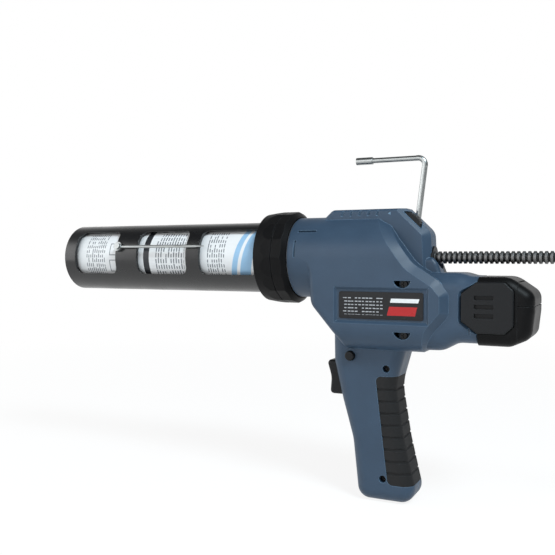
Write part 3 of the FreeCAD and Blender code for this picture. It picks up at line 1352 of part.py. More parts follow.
def housing_screws():
    """Screws that hold the two shells together."""
    screws = []
    for spots, half in ((BODY_SCREWS, BODY_HALF), (HANDLE_SCREWS, HANDLE_HALF)):
        for x, z in spots:
            seat = -half + SCREW_SINK
            head = rod_y(seat - SCREW_HEAD, seat, SCREW_HEAD_R, x, z)
            shank = rod_y(seat, SCREW_GRIP - SLIDE_GAP, SCREW_R, x, z)
            drive = (seat - SCREW_HEAD, seat - SCREW_HEAD / 2)
            thin = SCREW_HEAD_R / 6
            flat = block((x - SCREW_R, x + SCREW_R), drive, (z - thin, z + thin))
            tall = block((x - thin, x + thin), drive, (z - SCREW_R, z + SCREW_R))
            screws.append(head.fuse(shank).removeSplitter().cut(flat.fuse(tall)))
    return Part.makeCompound(screws)


def name_plate():
    """Thin plate on the floor of its recess."""
    floor = -BODY_HALF + RECESS_DEPTH
    outline = rectangle(PLATE_X, PLATE_Z, PLATE_LENGTH / 2, PLATE_HEIGHT / 2, PLATE_CORNER)
    return slab(outline, floor - PLATE_THICK, floor)


def grip_pad():
    """Soft panel let into the back of the handle, ribbed across."""
    pad = pad_region().common(handle_form(0)).cut(handle_form(GRIP_PAD_DEPTH))
    core = handle_form(GRIP_PAD_GROOVE_DEPTH)
    top = PAD_OUTLINE[0][1]
    for index in range(GRIP_PAD_GROOVES):
        high = top - (index + 1) * GRIP_PAD_GROOVE_PITCH
        low = high - GRIP_PAD_GROOVE_WIDTH
        band = block((GRIP_X, PAD_OUTLINE[1][0]), (-HANDLE_HALF, HANDLE_HALF), (low, high))
        pad = pad.cut(band.cut(core))
    return pad


def trigger():
    """Finger piece, the plate behind it that keeps it in its slot and the stem to the switch."""
    finger = slab(TRIGGER_OUTLINE, -TRIGGER_HALF, TRIGGER_HALF)
    skin_x = HANDLE_OUTLINE[0][0]
    front = edges_where(finger, lambda p, t: abs(abs(p.y) - TRIGGER_HALF) < NEAR and p.x < skin_x)
    finger = finger.makeFillet(TRIGGER_SOFT, front)
    plate = block((TRIGGER_REAR - FLANGE_PLATE, TRIGGER_REAR), (-FLANGE_PLATE_HALF, FLANGE_PLATE_HALF),
                  (TRIGGER_BOTTOM - FLANGE_PLATE_DROP, TRIGGER_TOP + FLANGE_PLATE_DROP / 2))
    stem = rod_x(TRIGGER_REAR, SWITCH_FRONT + SLIDE_GAP + STEM_R, STEM_R, 0, STEM_Z)
    return finger.fuse([plate, stem]).removeSplitter()


def switch_body():
    """Switch that the trigger's stem works."""
    rear = SWITCH_FRONT + SWITCH_LENGTH
    body = block((SWITCH_FRONT, rear), (-SWITCH_HALF, SWITCH_HALF), (SWITCH_BOTTOM, SWITCH_TOP))
    depth = STEM_R + TRIGGER_TRAVEL + 3 * SLIDE_GAP
    return body.cut(rod_x(SWITCH_FRONT, SWITCH_FRONT + depth, STEM_R + SLIDE_GAP, 0, STEM_Z))


def trigger_spring():
    """Coil spring round the stem, between the trigger's plate and the switch."""
    length = SWITCH_FRONT - TRIGGER_REAR - 2 * SPRING_WIRE_R - 2 * SLIDE_GAP
    helix = Part.makeHelix(length / TRIGGER_SPRING_TURNS, length, TRIGGER_SPRING_R)
    wire = Part.Wire(helix.Edges)
    start = wire.Edges[0].valueAt(wire.Edges[0].FirstParameter)
    along = wire.Edges[0].tangentAt(wire.Edges[0].FirstParameter)
    ring = Part.Wire([Part.makeCircle(SPRING_WIRE_R, start, along)])
    coil = wire.makePipeShell([ring], True, True)
    coil.rotate(vec(0, 0, 0), vec(0, 1, 0), 90)
    coil.translate(vec(TRIGGER_REAR + SPRING_WIRE_R + SLIDE_GAP, 0, STEM_Z))
    return coil


def direction_bar():
    """Push-through bar that sets forward or reverse."""
    reach = HANDLE_HALF + BAR_TRAVEL + BAR_REST
    body = rod_y(-reach, reach, BAR_R, BAR_X, BAR_Z)
    rims = edges_where(body, lambda p, t: abs(abs(p.y) - reach) < NEAR)
    return body.makeFillet(BAR_R / 4, rims)


def speed_dial():
    """Ribbed thumb wheel on an axle along Y."""
    low, high = DIAL_Y - DIAL_WIDTH / 2, DIAL_Y + DIAL_WIDTH / 2
    wheel = rod_y(low, high, DIAL_R, DIAL_X, DIAL_Z)
    ribs = []
    for index in range(DIAL_RIBS):
        angle = 2 * math.pi * index / DIAL_RIBS
        ribs.append(rod_y(low + DIAL_RIB, high - DIAL_RIB, DIAL_RIB, DIAL_X + DIAL_R * math.cos(angle),
                          DIAL_Z + DIAL_R * math.sin(angle)))
    axle = rod_y(low - WALL / 2, high + WALL / 2, DIAL_PIN_R, DIAL_X, DIAL_Z)
    return wheel.fuse(ribs + [axle]).removeSplitter()


def hook():
    """Bent wire: a leg in its bore, a bend and an arm that points forward with a sleeve at its tip."""
    foot, up = hook_line()
    bottom = foot - up * (HOOK_DEPTH - SLIDE_GAP)
    top = foot + up * ((HOOK_TOP - HOOK_FOOT_Z) / up.z)
    tip = top + vec(-HOOK_REACH, 0, 0)
    half = math.radians(90 - HOOK_LEAN) / 2
    reach = HOOK_BEND / math.tan(math.pi / 2 - half)
    enter, leave = top - up * reach, top + vec(-reach, 0, 0)
    inward = (vec(-1, 0, 0) - up).normalize()
    middle = top + inward * (HOOK_BEND / math.cos(half) - HOOK_BEND)
    path = Part.Wire([Part.LineSegment(bottom, enter).toShape(), Part.Arc(enter, middle, leave).toShape(),
                      Part.LineSegment(leave, tip).toShape()])
    ring = Part.Wire([Part.makeCircle(HOOK_R, bottom, up)])
    wire = path.makePipeShell([ring], True, False)
    sleeve = rod_x(tip.x - HOOK_R, tip.x + HOOK_SLEEVE, HOOK_SLEEVE_R, HOOK_Y, tip.z)
    return wire.fuse(sleeve).removeSplitter()


def export(name, shape):
    """Set a finished piece down with the grip's centre at the origin and write it."""
    shape.translate(vec(-GRIP_X, 0, GRIP_DROP))
    shape.exportStep("parts/" + name + ".step")


def main():
    os.makedirs("parts", exist_ok=True)
    pieces = {
        "holder_tube": drilled_tube(),
        "cartridge_body": cartridge_body(),
        "cartridge_piston": cartridge_piston(),
        "piercing_needle": needle(),
        "needle_rivet": needle_rivet(),
        "collar_nut": collar_nut(),
        "front_socket": front_socket(),
        "front_bush": front_bush(),
        "rear_bush": rear_bush(),
        "rack": rack(),
        "rack_knob": rack_knob(),
        "plunger_disc": plunger_disc(),
        "plunger_screw": plunger_screw(),
        "drive_pinion": drive_pinion(),
        "drive_gear": drive_gear(),
        "pinion_shaft": cross_shaft(PINION_SHAFT_R, PINION_X, PINION_Z),
        "lay_pinion": lay_pinion(),
        "bevel_gear": bevel_gear(),
        "lay_shaft": cross_shaft(LAY_SHAFT_R, LAY_X, LAY_Z),
        "bevel_pinion": bevel_pinion(),
        "gearbox_case": gearbox_case(),
        "output_bush": output_bush(),
        "ring_gear": ring_gear(),
        "planet_carrier": planet_carrier(),
        "sun_gear": sun_gear(),
        "motor_can": motor_can(),
        "motor_cap": motor_cap(),
        "motor_rotor": motor_rotor(),
        "terminal_block": terminal_block(),
        "battery_case": battery_case(),
        "battery_cap": battery_cap(),
        "battery_cells": battery_cells(),
        "battery_blades": battery_blades(),
        "latch_button_left": latch_button(),
        "latch_button_right": mirrored(latch_button()),
        "housing_screws": housing_screws(),
        "name_plate": name_plate(),
        "grip_pad": grip_pad(),
        "trigger": trigger(),
        "switch_body": switch_body(),
        "trigger_spring": trigger_spring(),
        "direction_bar": direction_bar(),
        "speed_dial": speed_dial(),
        "hanging_hook": hook(),
        "pinion_bushes": shaft_bushes(PINION_SHAFT_R, PINION_X, PINION_Z),
        "lay_bushes": shaft_bushes(LAY_SHAFT_R, LAY_X, LAY_Z),
        "frame_plate_left": frame_plate(-1),
        "frame_plate_right": frame_plate(1),
        "frame_posts": frame_posts(),
        "rack_rest": rack_rest(),
    }
    pieces["housing_left"], pieces["housing_right"] = housing()
    for index in range(PLANETS):
        pieces["planet_gear_%d" % (index + 1)] = planet_gear(index)
    for name, shape in pieces.items():
        print(name, shape.isValid(), len(shape.Solids), round(shape.Volume, 1))
        export(name, shape)


main()
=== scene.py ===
import math

import bpy
import numpy as np
from bpy.props import FloatProperty, FloatVectorProperty, PointerProperty
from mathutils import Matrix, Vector


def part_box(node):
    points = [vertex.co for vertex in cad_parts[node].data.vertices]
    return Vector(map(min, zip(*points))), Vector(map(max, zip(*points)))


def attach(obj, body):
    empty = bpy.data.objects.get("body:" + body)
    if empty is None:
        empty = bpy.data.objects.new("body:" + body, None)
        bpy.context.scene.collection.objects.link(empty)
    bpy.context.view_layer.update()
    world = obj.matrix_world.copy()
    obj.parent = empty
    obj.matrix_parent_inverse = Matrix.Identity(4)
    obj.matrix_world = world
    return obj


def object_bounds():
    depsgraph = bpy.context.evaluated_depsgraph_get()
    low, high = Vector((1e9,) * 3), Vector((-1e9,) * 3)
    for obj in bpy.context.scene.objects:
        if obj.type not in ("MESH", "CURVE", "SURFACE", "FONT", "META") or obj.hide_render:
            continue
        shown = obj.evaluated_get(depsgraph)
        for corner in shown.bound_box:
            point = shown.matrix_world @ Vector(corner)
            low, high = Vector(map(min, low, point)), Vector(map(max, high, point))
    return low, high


bl_info = {
    "name": "Cordless caulking tool",
    "version": (1, 0, 0),
    "blender": (4, 5, 0),
    "location": "View3D > Sidebar > Caulking Tool",
    "description": "Finishes, printed pieces and stage of a cordless caulking tool",
    "category": "Object",
}

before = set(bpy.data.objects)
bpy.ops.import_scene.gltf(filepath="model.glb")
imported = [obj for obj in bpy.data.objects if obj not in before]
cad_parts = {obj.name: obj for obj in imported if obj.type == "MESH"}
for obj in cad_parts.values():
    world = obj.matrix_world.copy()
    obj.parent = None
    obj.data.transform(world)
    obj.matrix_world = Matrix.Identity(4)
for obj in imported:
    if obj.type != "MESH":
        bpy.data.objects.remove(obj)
CAD_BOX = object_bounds()
TUBE_LOW, TUBE_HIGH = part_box("holder_tube")
CARTRIDGE_LOW, CARTRIDGE_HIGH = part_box("cartridge_body")
PLATE_LOW, PLATE_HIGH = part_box("name_plate")
RACK_LOW, RACK_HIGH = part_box("rack")
DRIVE_AXIS = (TUBE_LOW.z + TUBE_HIGH.z) / 2
CARTRIDGE_RADIUS = (CARTRIDGE_HIGH.z - CARTRIDGE_LOW.z) / 2
RACK_RADIUS = (RACK_HIGH.z - RACK_LOW.z) / 2
MM = 0.001
SPINE_SIDE = -13 * MM
SLEEVE_START = TUBE_LOW.x + 8 * MM
SLEEVE_END = CARTRIDGE_HIGH.x - 5 * MM
SLEEVE_GAP = 0.02 * MM
PLATE_MARGIN = 0.7 * MM
TURN = 2 * math.pi
WHITE = (1.0, 1.0, 1.0, 1.0)

# Places of the stage in metres, and the heights and sides between which a reflection's surroundings grow dim
FRONT_LAMP, FRONT_LAMP_SIZE = Vector((-0.35, -1.3, 0.5)), 0.9
RIGHT_LAMP, RIGHT_LAMP_SIZE = Vector((0.75, -0.55, 1.1)), 0.4
LEFT_LAMP, LEFT_LAMP_SIZE = Vector((-1.35, -0.62, 0.42)), 1.1
CAMERA_PLACE = Vector((0.18082, -0.5491, 0.128))
CAMERA_AZIMUTH, CAMERA_DIP = math.radians(26.0), math.radians(1.56)
FLOOR_POINTS, FLOOR_GAP = 9, 0.5 * MM
FADE_START, FADE_END = 0.3, 1.2
NEAR_GLOW, NEAR_SHARE = 1.08, 0.8
DIM_ABOVE, DIM_RIGHT = (0.36, 0.75), (0.1, 0.7)


# Colours and values

def srgb(red, green, blue):
    """A screen colour of 0 to 255 as the linear colour that a material takes."""
    part = np.array([red, green, blue]) / 255
    return tuple(np.where(part <= 0.04045, part / 12.92, ((part + 0.055) / 1.055) ** 2.4).tolist())


def opaque(colour):
    """A colour property with the alpha that a colour socket wants."""
    return (*colour, 1.0)


def shade(colour, share):
    """A colour made darker or lighter by one factor."""
    return tuple(min(1.0, part * share) for part in colour)


def colour_property(name, description, default):
    return FloatVectorProperty(name=name, description=description, default=default, subtype="COLOR",
                               min=0.0, max=1.0)


def share_property(name, description, default):
    return FloatProperty(name=name, description=description, default=default, subtype="FACTOR",
                         min=0.0, max=1.0)


def length_property(name, description, default):
    return FloatProperty(name=name, description=description, default=default, subtype="DISTANCE",
                         unit="LENGTH", min=0.0, precision=5)


def power_property(name, description, default):
    return FloatProperty(name=name, description=description, default=default, unit="POWER", min=0.0)


class HousingFinish(bpy.types.PropertyGroup):
    """Moulded blue shells."""
    colour: colour_property("Colour", "Slate blue of the shells", srgb(53, 72, 92))
    # Paler edge blue: rubbed wear, and a painted highlight along the shells' edges.
    edge_colour: colour_property("Edge colour", "Paler blue on rubbed edges", srgb(108, 138, 164))
    roughness: share_property("Roughness", "Roughness of the shells", 0.44)
    specular: share_property("Specular", "Strength of the shells' sheen", 0.35)
    grain: length_property("Grain", "Width of one grain of the moulded texture", 0.7 * MM)
    grain_depth: length_property("Grain depth", "Height of the moulded texture", 0.02 * MM)


class PlasticFinish(bpy.types.PropertyGroup):
    """Black plastics, coats and rubber."""
    tube_colour: colour_property("Tube", "Satin coat of the holder tube", srgb(14, 15, 17))
    collar_colour: colour_property("Collar", "Moulded black of the collar nut", srgb(15, 15, 16))
    black_colour: colour_property("Black parts", "Buttons, dial and trigger", srgb(25, 26, 28))
    battery_colour: colour_property("Battery", "Deep black of the battery case", srgb(13, 13, 14))
    rubber_colour: colour_property("Rubber", "Panel in the back of the grip", srgb(26, 26, 27))
    edge_colour: colour_property("Edge colour", "Grey on rubbed black edges", srgb(74, 76, 78))
    grain: length_property("Grain", "Width of one grain of the moulded texture", 0.6 * MM)


class MetalFinish(bpy.types.PropertyGroup):
    """Plated, ground and cast metal."""
    zinc_colour: colour_property("Zinc", "Plate on the hook and the needle", srgb(172, 176, 176))
    steel_colour: colour_property("Steel", "Ground steel of the gears and screws", srgb(170, 172, 174))
    rack_colour: colour_property("Rack", "Dark steel of the rack", srgb(122, 122, 122))
    bronze_colour: colour_property("Bronze", "Plain bearings", srgb(186, 146, 92))
    cast_colour: colour_property("Cast alloy", "Gear case and front socket", srgb(168, 169, 171))
    copper_colour: colour_property("Copper", "Battery contacts", srgb(202, 150, 110))


class PrintFinish(bpy.types.PropertyGroup):
    """Cartridge sleeve, plate print and small marks."""
    paper_colour: colour_property("Paper", "White of the cartridge sleeve", srgb(232, 233, 234))
    ink_colour: colour_property("Ink", "Grey of the printed rows", srgb(96, 102, 110))
    row_colour: colour_property("Plate rows", "Pale grey of the rows on the plate", srgb(176, 178, 182))
    band_colour: colour_property("Band", "Sky blue of the sleeve's band", srgb(150, 190, 222))
    ring_colour: colour_property("Ring", "Black of the sleeve's ring", srgb(38, 40, 44))
    plate_colour: colour_property("Plate", "Gloss black of the plate", srgb(30, 30, 32))
    accent_colour: colour_property("Accent", "Red block on the plate", srgb(178, 42, 44))
    sleeve_thickness: length_property("Sleeve thickness", "Thickness of the cartridge sleeve", 0.1 * MM)
    film_thickness: length_property("Film thickness", "Thickness of the plate's film", 0.08 * MM)
    mark_size: length_property("Mark size", "Inner radius of the pointer on the spine", 0.7 * MM)
    mark_x: length_property("Mark place", "Distance of the pointer behind the grip", 13.4 * MM)
    mark_z: length_property("Mark height", "Height of the pointer", 161.3 * MM)


class StageSettings(bpy.types.PropertyGroup):
    """Floor, lamps and camera."""
    floor_size: length_property("Floor size", "Side of the floor", 8.0)
    floor_colour: colour_property("Floor colour", "Colour of the floor", (0.82, 0.82, 0.82))
    ambient: share_property("Ambient", "Light from all round", 0.27)
    ceiling: share_property("Dim side", "Brightness of the surroundings overhead and at the right", 0.1)
    front_power: power_property("Front", "Power of the soft lamp before the object", 3.0)
    right_power: power_property("Right", "Power of the lamp at the upper right", 17.0)
    cool_colour: colour_property("Cool light", "Colour of the lamp at the upper right", (0.8, 0.93, 1.0))
    left_power: power_property("Left", "Power of the lamp at the left", 8.0)
    lens: FloatProperty(name="Lens", description="Focal length of the camera", default=47.676, unit="CAMERA")


# Node trees

class Bench:
    """Lays nodes into one tree. A socket given as an input is linked, and a plain value is set."""

    def __init__(self, tree):
        self.tree = tree

    def add(self, kind, inputs=None, **settings):
        made = self.tree.nodes.new(kind)
        for key, value in settings.items():
            setattr(made, key, value)
        for key, value in (inputs or {}).items():
            if isinstance(value, bpy.types.NodeSocket):
                self.tree.links.new(value, made.inputs[key])
            else:
                made.inputs[key].default_value = value
        return made

    def math(self, operation, first, second=0.0):
        return self.add("ShaderNodeMath", {0: first, 1: second}, operation=operation).outputs[0]

    def vector(self, operation, first, second=(0.0, 0.0, 0.0)):
        return self.add("ShaderNodeVectorMath", {0: first, 1: second}, operation=operation).outputs

    def blend(self, factor, first, second):
        return self.add("ShaderNodeMix", {0: factor, 6: first, 7: second}, data_type="RGBA").outputs[2]

    def ease(self, value, start, end, low=0.0, high=1.0):
        """A value taken from start..end to low..high and kept there."""
        inputs = {"Value": value, "From Min": start, "From Max": end, "To Min": low, "To Max": high}
        return self.add("ShaderNodeMapRange", inputs).outputs[0]

    def use(self, group, **inputs):
        """A shared effect placed in this tree."""
        made = self.add("ShaderNodeGroup", node_tree=group)
        for key, value in inputs.items():
            socket = made.inputs[key.replace("_", " ").capitalize()]
            if isinstance(value, bpy.types.NodeSocket):
                self.tree.links.new(value, socket)
            else:
                socket.default_value = value
        return made.outputs


def effect(name, inputs, outputs, lay):
    """A shared shader node group, made the first time it is asked for."""
    tree = bpy.data.node_groups.get(name)
    if tree:
        return tree
    tree = bpy.data.node_groups.new(name, "ShaderNodeTree")
    for label, kind in inputs:
        tree.interface.new_socket(name=label, in_out="INPUT", socket_type=kind)
    for label, kind in outputs:
        tree.interface.new_socket(name=label, in_out="OUTPUT", socket_type=kind)
    bench = Bench(tree)
    results = lay(bench, bench.add("NodeGroupInput").outputs)
    bench.add("NodeGroupOutput", results)
    return tree


VALUE, VECTOR = "NodeSocketFloat", "NodeSocketVector"


def lay_grain(bench, given):
    """Fine noise over soft pebbles for the height, and a mottle thirty grains wide for the tone."""
    scale = bench.math("DIVIDE", 1.0, given["Size"])
    fine = bench.add("ShaderNodeTexNoise", {"Vector": given["Position"], "Scale": scale, "Detail": 2.0})
    pebbles = bench.add("ShaderNodeTexVoronoi", {"Vector": given["Position"], "Scale": scale},
                        feature="SMOOTH_F1")
    height = bench.math("ADD", bench.math("MULTIPLY", fine.outputs[0], 0.6),
                        bench.math("MULTIPLY", pebbles.outputs[0], 0.4))
    mottle = bench.add("ShaderNodeTexNoise", {"Vector": given["Position"], "Detail": 4.0,
                                              "Scale": bench.math("DIVIDE", scale, 30.0)})
    return {"Height": height, "Tone": bench.ease(mottle.outputs[0], 0.3, 0.7)}


def lay_edge(bench, given):
    """A rounded normal from nearby faces, and a mask that grows where it leaves the face's own normal."""
    rounded = bench.add("ShaderNodeBevel", {"Radius": given["Radius"]}, samples=6).outputs[0]
    plain = bench.add("ShaderNodeNewGeometry").outputs["Normal"]
    along = bench.vector("DOT_PRODUCT", rounded, plain)["Value"]
    return {"Normal": rounded, "Edge": bench.ease(bench.math("SUBTRACT", 1.0, along), 0.02, 0.2)}


def lay_handling(bench, given):
    """Broad smudges about 30 mm wide and small specks of dust."""
    broad = bench.add("ShaderNodeTexNoise", {"Vector": given["Position"], "Scale": 34.0, "Detail": 5.0})
    small = bench.add("ShaderNodeTexNoise", {"Vector": given["Position"], "Scale": 1300.0, "Detail": 1.0})
    return {"Smudge": bench.ease(broad.outputs[0], 0.38, 0.66),
            "Speck": bench.ease(small.outputs[0], 0.7, 0.78)}


def lay_streaks(bench, given):
    """Noise drawn out along one direction, as a grinding or drawing mark."""
    drawn = bench.vector("MULTIPLY", given["Position"], given["Stretch"])[0]
    lines = bench.add("ShaderNodeTexNoise", {"Vector": drawn, "Scale": 1.0, "Detail": 3.0})
    return {"Streak": lines.outputs[0]}


def lay_rows(bench, given):
    """Rows of dashes: a row is inked over a share of its pitch, and each cell's dash has its own length."""
    place = bench.add("ShaderNodeSeparateXYZ", {0: given["Place"]}).outputs
    across = bench.math("DIVIDE", place["X"], given["Word"])
    down = bench.math("DIVIDE", place["Y"], given["Pitch"])
    column, row = bench.math("FLOOR", across), bench.math("FLOOR", down)
    cell = bench.add("ShaderNodeCombineXYZ", {"X": column, "Y": row}).outputs[0]
    chance = bench.add("ShaderNodeTexWhiteNoise", {"Vector": cell}, noise_dimensions="2D").outputs[0]
    inked = bench.math("LESS_THAN", bench.math("FRACT", down), given["Fill"])
    reach = bench.ease(chance, 0.0, 1.0, 0.45, 0.95)
    worded = bench.math("LESS_THAN", bench.math("FRACT", across), reach)
    kept = bench.math("GREATER_THAN", chance, 0.1)
    return {"Ink": bench.math("MULTIPLY", bench.math("MULTIPLY", inked, worded), kept)}


def lay_block(bench, given):
    """A slanted block: the place is sheared by the slant, then tested against four sides."""
    place = bench.add("ShaderNodeSeparateXYZ", {0: given["Place"]}).outputs
    across = bench.math("SUBTRACT", place["X"], bench.math("MULTIPLY", place["Y"], given["Slant"]))
    sides = (bench.math("GREATER_THAN", across, given["Left"]),
             bench.math("LESS_THAN", across, given["Right"]),
             bench.math("GREATER_THAN", place["Y"], given["Low"]),
             bench.math("LESS_THAN", place["Y"], given["High"]))
    mask = sides[0]
    for side in sides[1:]:
        mask = bench.math("MULTIPLY", mask, side)
    return {"Mask": mask}


def moulded_grain():
    return effect("moulded grain", [("Position", VECTOR), ("Size", VALUE)],
                  [("Height", VALUE), ("Tone", VALUE)], lay_grain)


def rounded_edge():
    return effect("rounded edge", [("Radius", VALUE)], [("Normal", VECTOR), ("Edge", VALUE)], lay_edge)


def handling_marks():
    return effect("handling marks", [("Position", VECTOR)], [("Smudge", VALUE), ("Speck", VALUE)],
                  lay_handling)


def drawn_streaks():
    return effect("drawn streaks", [("Position", VECTOR), ("Stretch", VECTOR)], [("Streak", VALUE)],
                  lay_streaks)


def print_rows():
    return effect("print rows", [("Place", VECTOR), ("Pitch", VALUE), ("Fill", VALUE), ("Word", VALUE)],
                  [("Ink", VALUE)], lay_rows)


def print_block():
    sides = [(side, VALUE) for side in ("Left", "Right", "Low", "High", "Slant")]
    return effect("print block", [("Place", VECTOR), *sides], [("Mask", VALUE)], lay_block)


# Materials

def new_material(name):
    """An empty material, its bench, its shader and the object coordinates."""
    material = bpy.data.materials.new(name)
    material.use_nodes = True
    material.node_tree.nodes.clear()
    bench = Bench(material.node_tree)
    shader = bench.add("ShaderNodeBsdfPrincipled")
    bench.add("ShaderNodeOutputMaterial", {"Surface": shader.outputs[0]})
    position = bench.add("ShaderNodeTexCoord").outputs["Object"]
    return material, bench, shader, position


def moulded_plastic(name, colour, edge_colour, roughness, grain, depth, specular=0.5, rounding=0.6 * MM,
                    lift=0.5):
    """Moulded plastic: grain in the bump, mottled colour, paler edges and smudges in the gloss. The paler
    edges are rubbed wear, and with a strong lift, as on the shells, also a painted edge highlight.
    """
    material, bench, shader, position = new_material(name)
    texture = bench.use(moulded_grain(), position=position, size=grain)
    edge = bench.use(rounded_edge(), radius=rounding)
    marks = bench.use(handling_marks(), position=position)
    base = bench.blend(texture["Tone"], opaque(shade(colour, 0.92)), opaque(shade(colour, 1.06)))
    # Paler edges: rubbed wear, and where the lift is strong a painted edge highlight.
    pale_edged = bench.blend(bench.math("MULTIPLY", edge["Edge"], lift), base, opaque(edge_colour))
    dusty = bench.blend(bench.math("MULTIPLY", marks["Speck"], 0.12), pale_edged, opaque(edge_colour))
    gloss = bench.ease(marks["Smudge"], 0.0, 1.0, roughness - 0.05, roughness + 0.05)
    bump = bench.add("ShaderNodeBump", {"Height": texture["Height"], "Distance": depth,
                                        "Normal": edge["Normal"]})
    shader.inputs["Specular IOR Level"].default_value = specular
    for socket, feed in (("Base Color", dusty), ("Roughness", gloss), ("Normal", bump.outputs[0])):
        bench.tree.links.new(feed, shader.inputs[socket])
    return material


def worked_metal(name, colour, roughness, stretch, worn_colour, rounding=0.3 * MM, lift=0.5,
                 relief=0.01 * MM, groove_shade_depth=0.0):
    """Metal with drawn streaks in its colour, gloss and bump, and edges of another tone. With a groove depth,
    it paints shade into the colour, darker towards the bottom of the rack's grooves."""
    material, bench, shader, position = new_material(name)
    streak = bench.use(drawn_streaks(), position=position, stretch=stretch)["Streak"]
    edge = bench.use(rounded_edge(), radius=rounding)
    marks = bench.use(handling_marks(), position=position)
    base = bench.blend(streak, opaque(shade(colour, 0.82)), opaque(shade(colour, 1.12)))
    pale_edged = bench.blend(bench.math("MULTIPLY", edge["Edge"], lift), base, opaque(worn_colour))
    dull = bench.blend(bench.math("MULTIPLY", marks["Smudge"], 0.2), pale_edged, opaque(shade(colour, 0.7)))
    # Painted shade: the colour falls to a tenth of itself towards the bottom of the rack's grooves.
    if groove_shade_depth:
        centred = bench.vector("SUBTRACT", position, (0.0, 0.0, DRIVE_AXIS))[0]
        across = bench.vector("MULTIPLY", centred, (0.0, 1.0, 1.0))[0]
        reach = bench.vector("LENGTH", across)["Value"]
        clear_of_groove_shade = bench.ease(reach, RACK_RADIUS - groove_shade_depth, RACK_RADIUS)
        dull = bench.blend(clear_of_groove_shade, opaque(shade(colour, 0.1)), dull)
    gloss = bench.ease(streak, 0.3, 0.7, roughness - 0.06, roughness + 0.08)
    bump = bench.add("ShaderNodeBump", {"Height": streak, "Distance": relief, "Normal": edge["Normal"]})
    shader.inputs["Metallic"].default_value = 1.0
    for socket, feed in (("Base Color", dull), ("Roughness", gloss), ("Normal", bump.outputs[0])):
        bench.tree.links.new(feed, shader.inputs[socket])
    return material


def printed_film(name, paper, roughness, specular, layers):
    """Printed film: layers are laid over the paper in order, each a colour and a function for its mask."""
    material, bench, shader, position = new_material(name)
    place = bench.add("ShaderNodeUVMap", uv_map="print").outputs[0]
    marks = bench.use(handling_marks(), position=position)
    soiled = bench.math("MULTIPLY", marks["Smudge"], 0.5)
    colour = bench.blend(soiled, opaque(paper), opaque(shade(paper, 0.95)))
    for ink, mask in layers:
        colour = bench.blend(mask(bench, place), colour, opaque(ink))
    gloss = bench.ease(marks["Smudge"], 0.0, 1.0, roughness - 0.04, roughness + 0.06)
    grain = bench.use(moulded_grain(), position=position, size=1.2 * MM)
    bump = bench.add("ShaderNodeBump", {"Height": grain["Height"], "Distance": 0.006 * MM})
    shader.inputs["Specular IOR Level"].default_value = specular
    for socket, feed in (("Base Color", colour), ("Roughness", gloss), ("Normal", bump.outputs[0])):
        bench.tree.links.new(feed, shader.inputs[socket])
    return material


def rows(left, right, low, high, pitch, fill, word):
    """A paragraph of dashes inside a block."""
    def mask(bench, place):
        ink = bench.use(print_rows(), place=place, pitch=pitch, fill=fill, word=word)["Ink"]
        return bench.math("MULTIPLY", block(left, right, low, high)(bench, place), ink)
    return mask


def columns(left, right, low, high, pitch, fill, word):
    """A paragraph of dashes that runs across the place, inside a block."""
    def mask(bench, place):
        part = bench.add("ShaderNodeSeparateXYZ", {0: place}).outputs
        turned = bench.add("ShaderNodeCombineXYZ", {"X": part["Y"], "Y": part["X"]}).outputs[0]
        return rows(low, high, left, right, pitch, fill, word)(bench, turned)
    return mask


def outline(left, right, low, high, width):
    """The line round a block."""
    def mask(bench, place):
        outside = block(left, right, low, high)(bench, place)
        inside = block(left + width, right - width, low + width, high - width)(bench, place)
        return bench.math("SUBTRACT", outside, inside)
    return mask


def block(left, right, low, high, slant=0.0):
    """A plain block of ink."""
    def mask(bench, place):
        sides = {"left": left, "right": right, "low": low, "high": high}
        return bench.use(print_block(), place=place, slant=slant, **sides)["Mask"]
    return mask


def dress(material, *nodes):
    """Puts one material on the named nodes of the packed model."""
    for name in nodes:
        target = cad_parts[name]
        if not target.material_slots:
            raise RuntimeError(f"{name} has no material slot")
        for place in target.material_slots:
            place.link = "OBJECT"
            place.material = material


# Surfaces

def corners(row_count, column_count, wrapped):
    """Corner numbers of a grid's quads: each corner with its neighbours, round the columns and, if wrapped,
    round the rows."""
    index = np.arange(row_count * column_count).reshape(row_count, column_count)
    below = np.roll(index, -1, axis=0)
    quads = np.stack([index, below, np.roll(below, -1, axis=1), np.roll(index, -1, axis=1)], axis=-1)
    return (quads if wrapped else quads[:-1]).reshape(-1, 4)


def new_piece(name, points, faces, prints, material, body, smooth):
    """A mesh piece from its points, its faces and one print place for each corner of each face."""
    mesh = bpy.data.meshes.new(name)
    mesh.from_pydata(points.tolist(), [], faces)
    mesh.update()
    layer = mesh.uv_layers.new(name="print")
    layer.uv.foreach_set("vector", np.ascontiguousarray(prints, dtype=np.float32).ravel())
    mesh.polygons.foreach_set("use_smooth", np.full(len(mesh.polygons), smooth))
    mesh.materials.append(material)
    piece = bpy.data.objects.new(name, mesh)
    bpy.context.scene.collection.objects.link(piece)
    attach(piece, body)
    return piece


def ring_sleeve(start, end, inner, outer, around, along):
    """A thin ring about the drive axis: the angle runs round it, and the other parameter goes along the outer
    wall from start to end and back along the inner wall, so the wall is closed. The print place is the
    distance from the start and the arc length from the side line, in millimetres."""
    angle = np.linspace(-0.5, 0.5, around + 1) * TURN
    run = np.linspace(start, end, along)
    line = np.concatenate([run, run[::-1]])
    radius = np.concatenate([np.full(along, outer), np.full(along, inner)])
    turn = angle[:-1]
    across = -radius[:, None] * np.cos(turn)
    upward = DRIVE_AXIS + radius[:, None] * np.sin(turn)
    points = np.stack(np.broadcast_arrays(line[:, None], across, upward), axis=-1).reshape(-1, 3)
    faces = corners(2 * along, around, True)
    arc = angle * outer / MM
    near, far = np.meshgrid((line - start) / MM, arc[:-1], indexing="ij"), arc[1:]
    after = np.roll(near[0], -1, axis=0)
    ahead = np.broadcast_to(far, near[1].shape)
    prints = np.stack([np.stack([near[0], near[1]], -1), np.stack([after, near[1]], -1),
                       np.stack([after, ahead], -1), np.stack([near[0], ahead], -1)], axis=2)
    return points, faces.tolist(), prints.reshape(-1, 2)


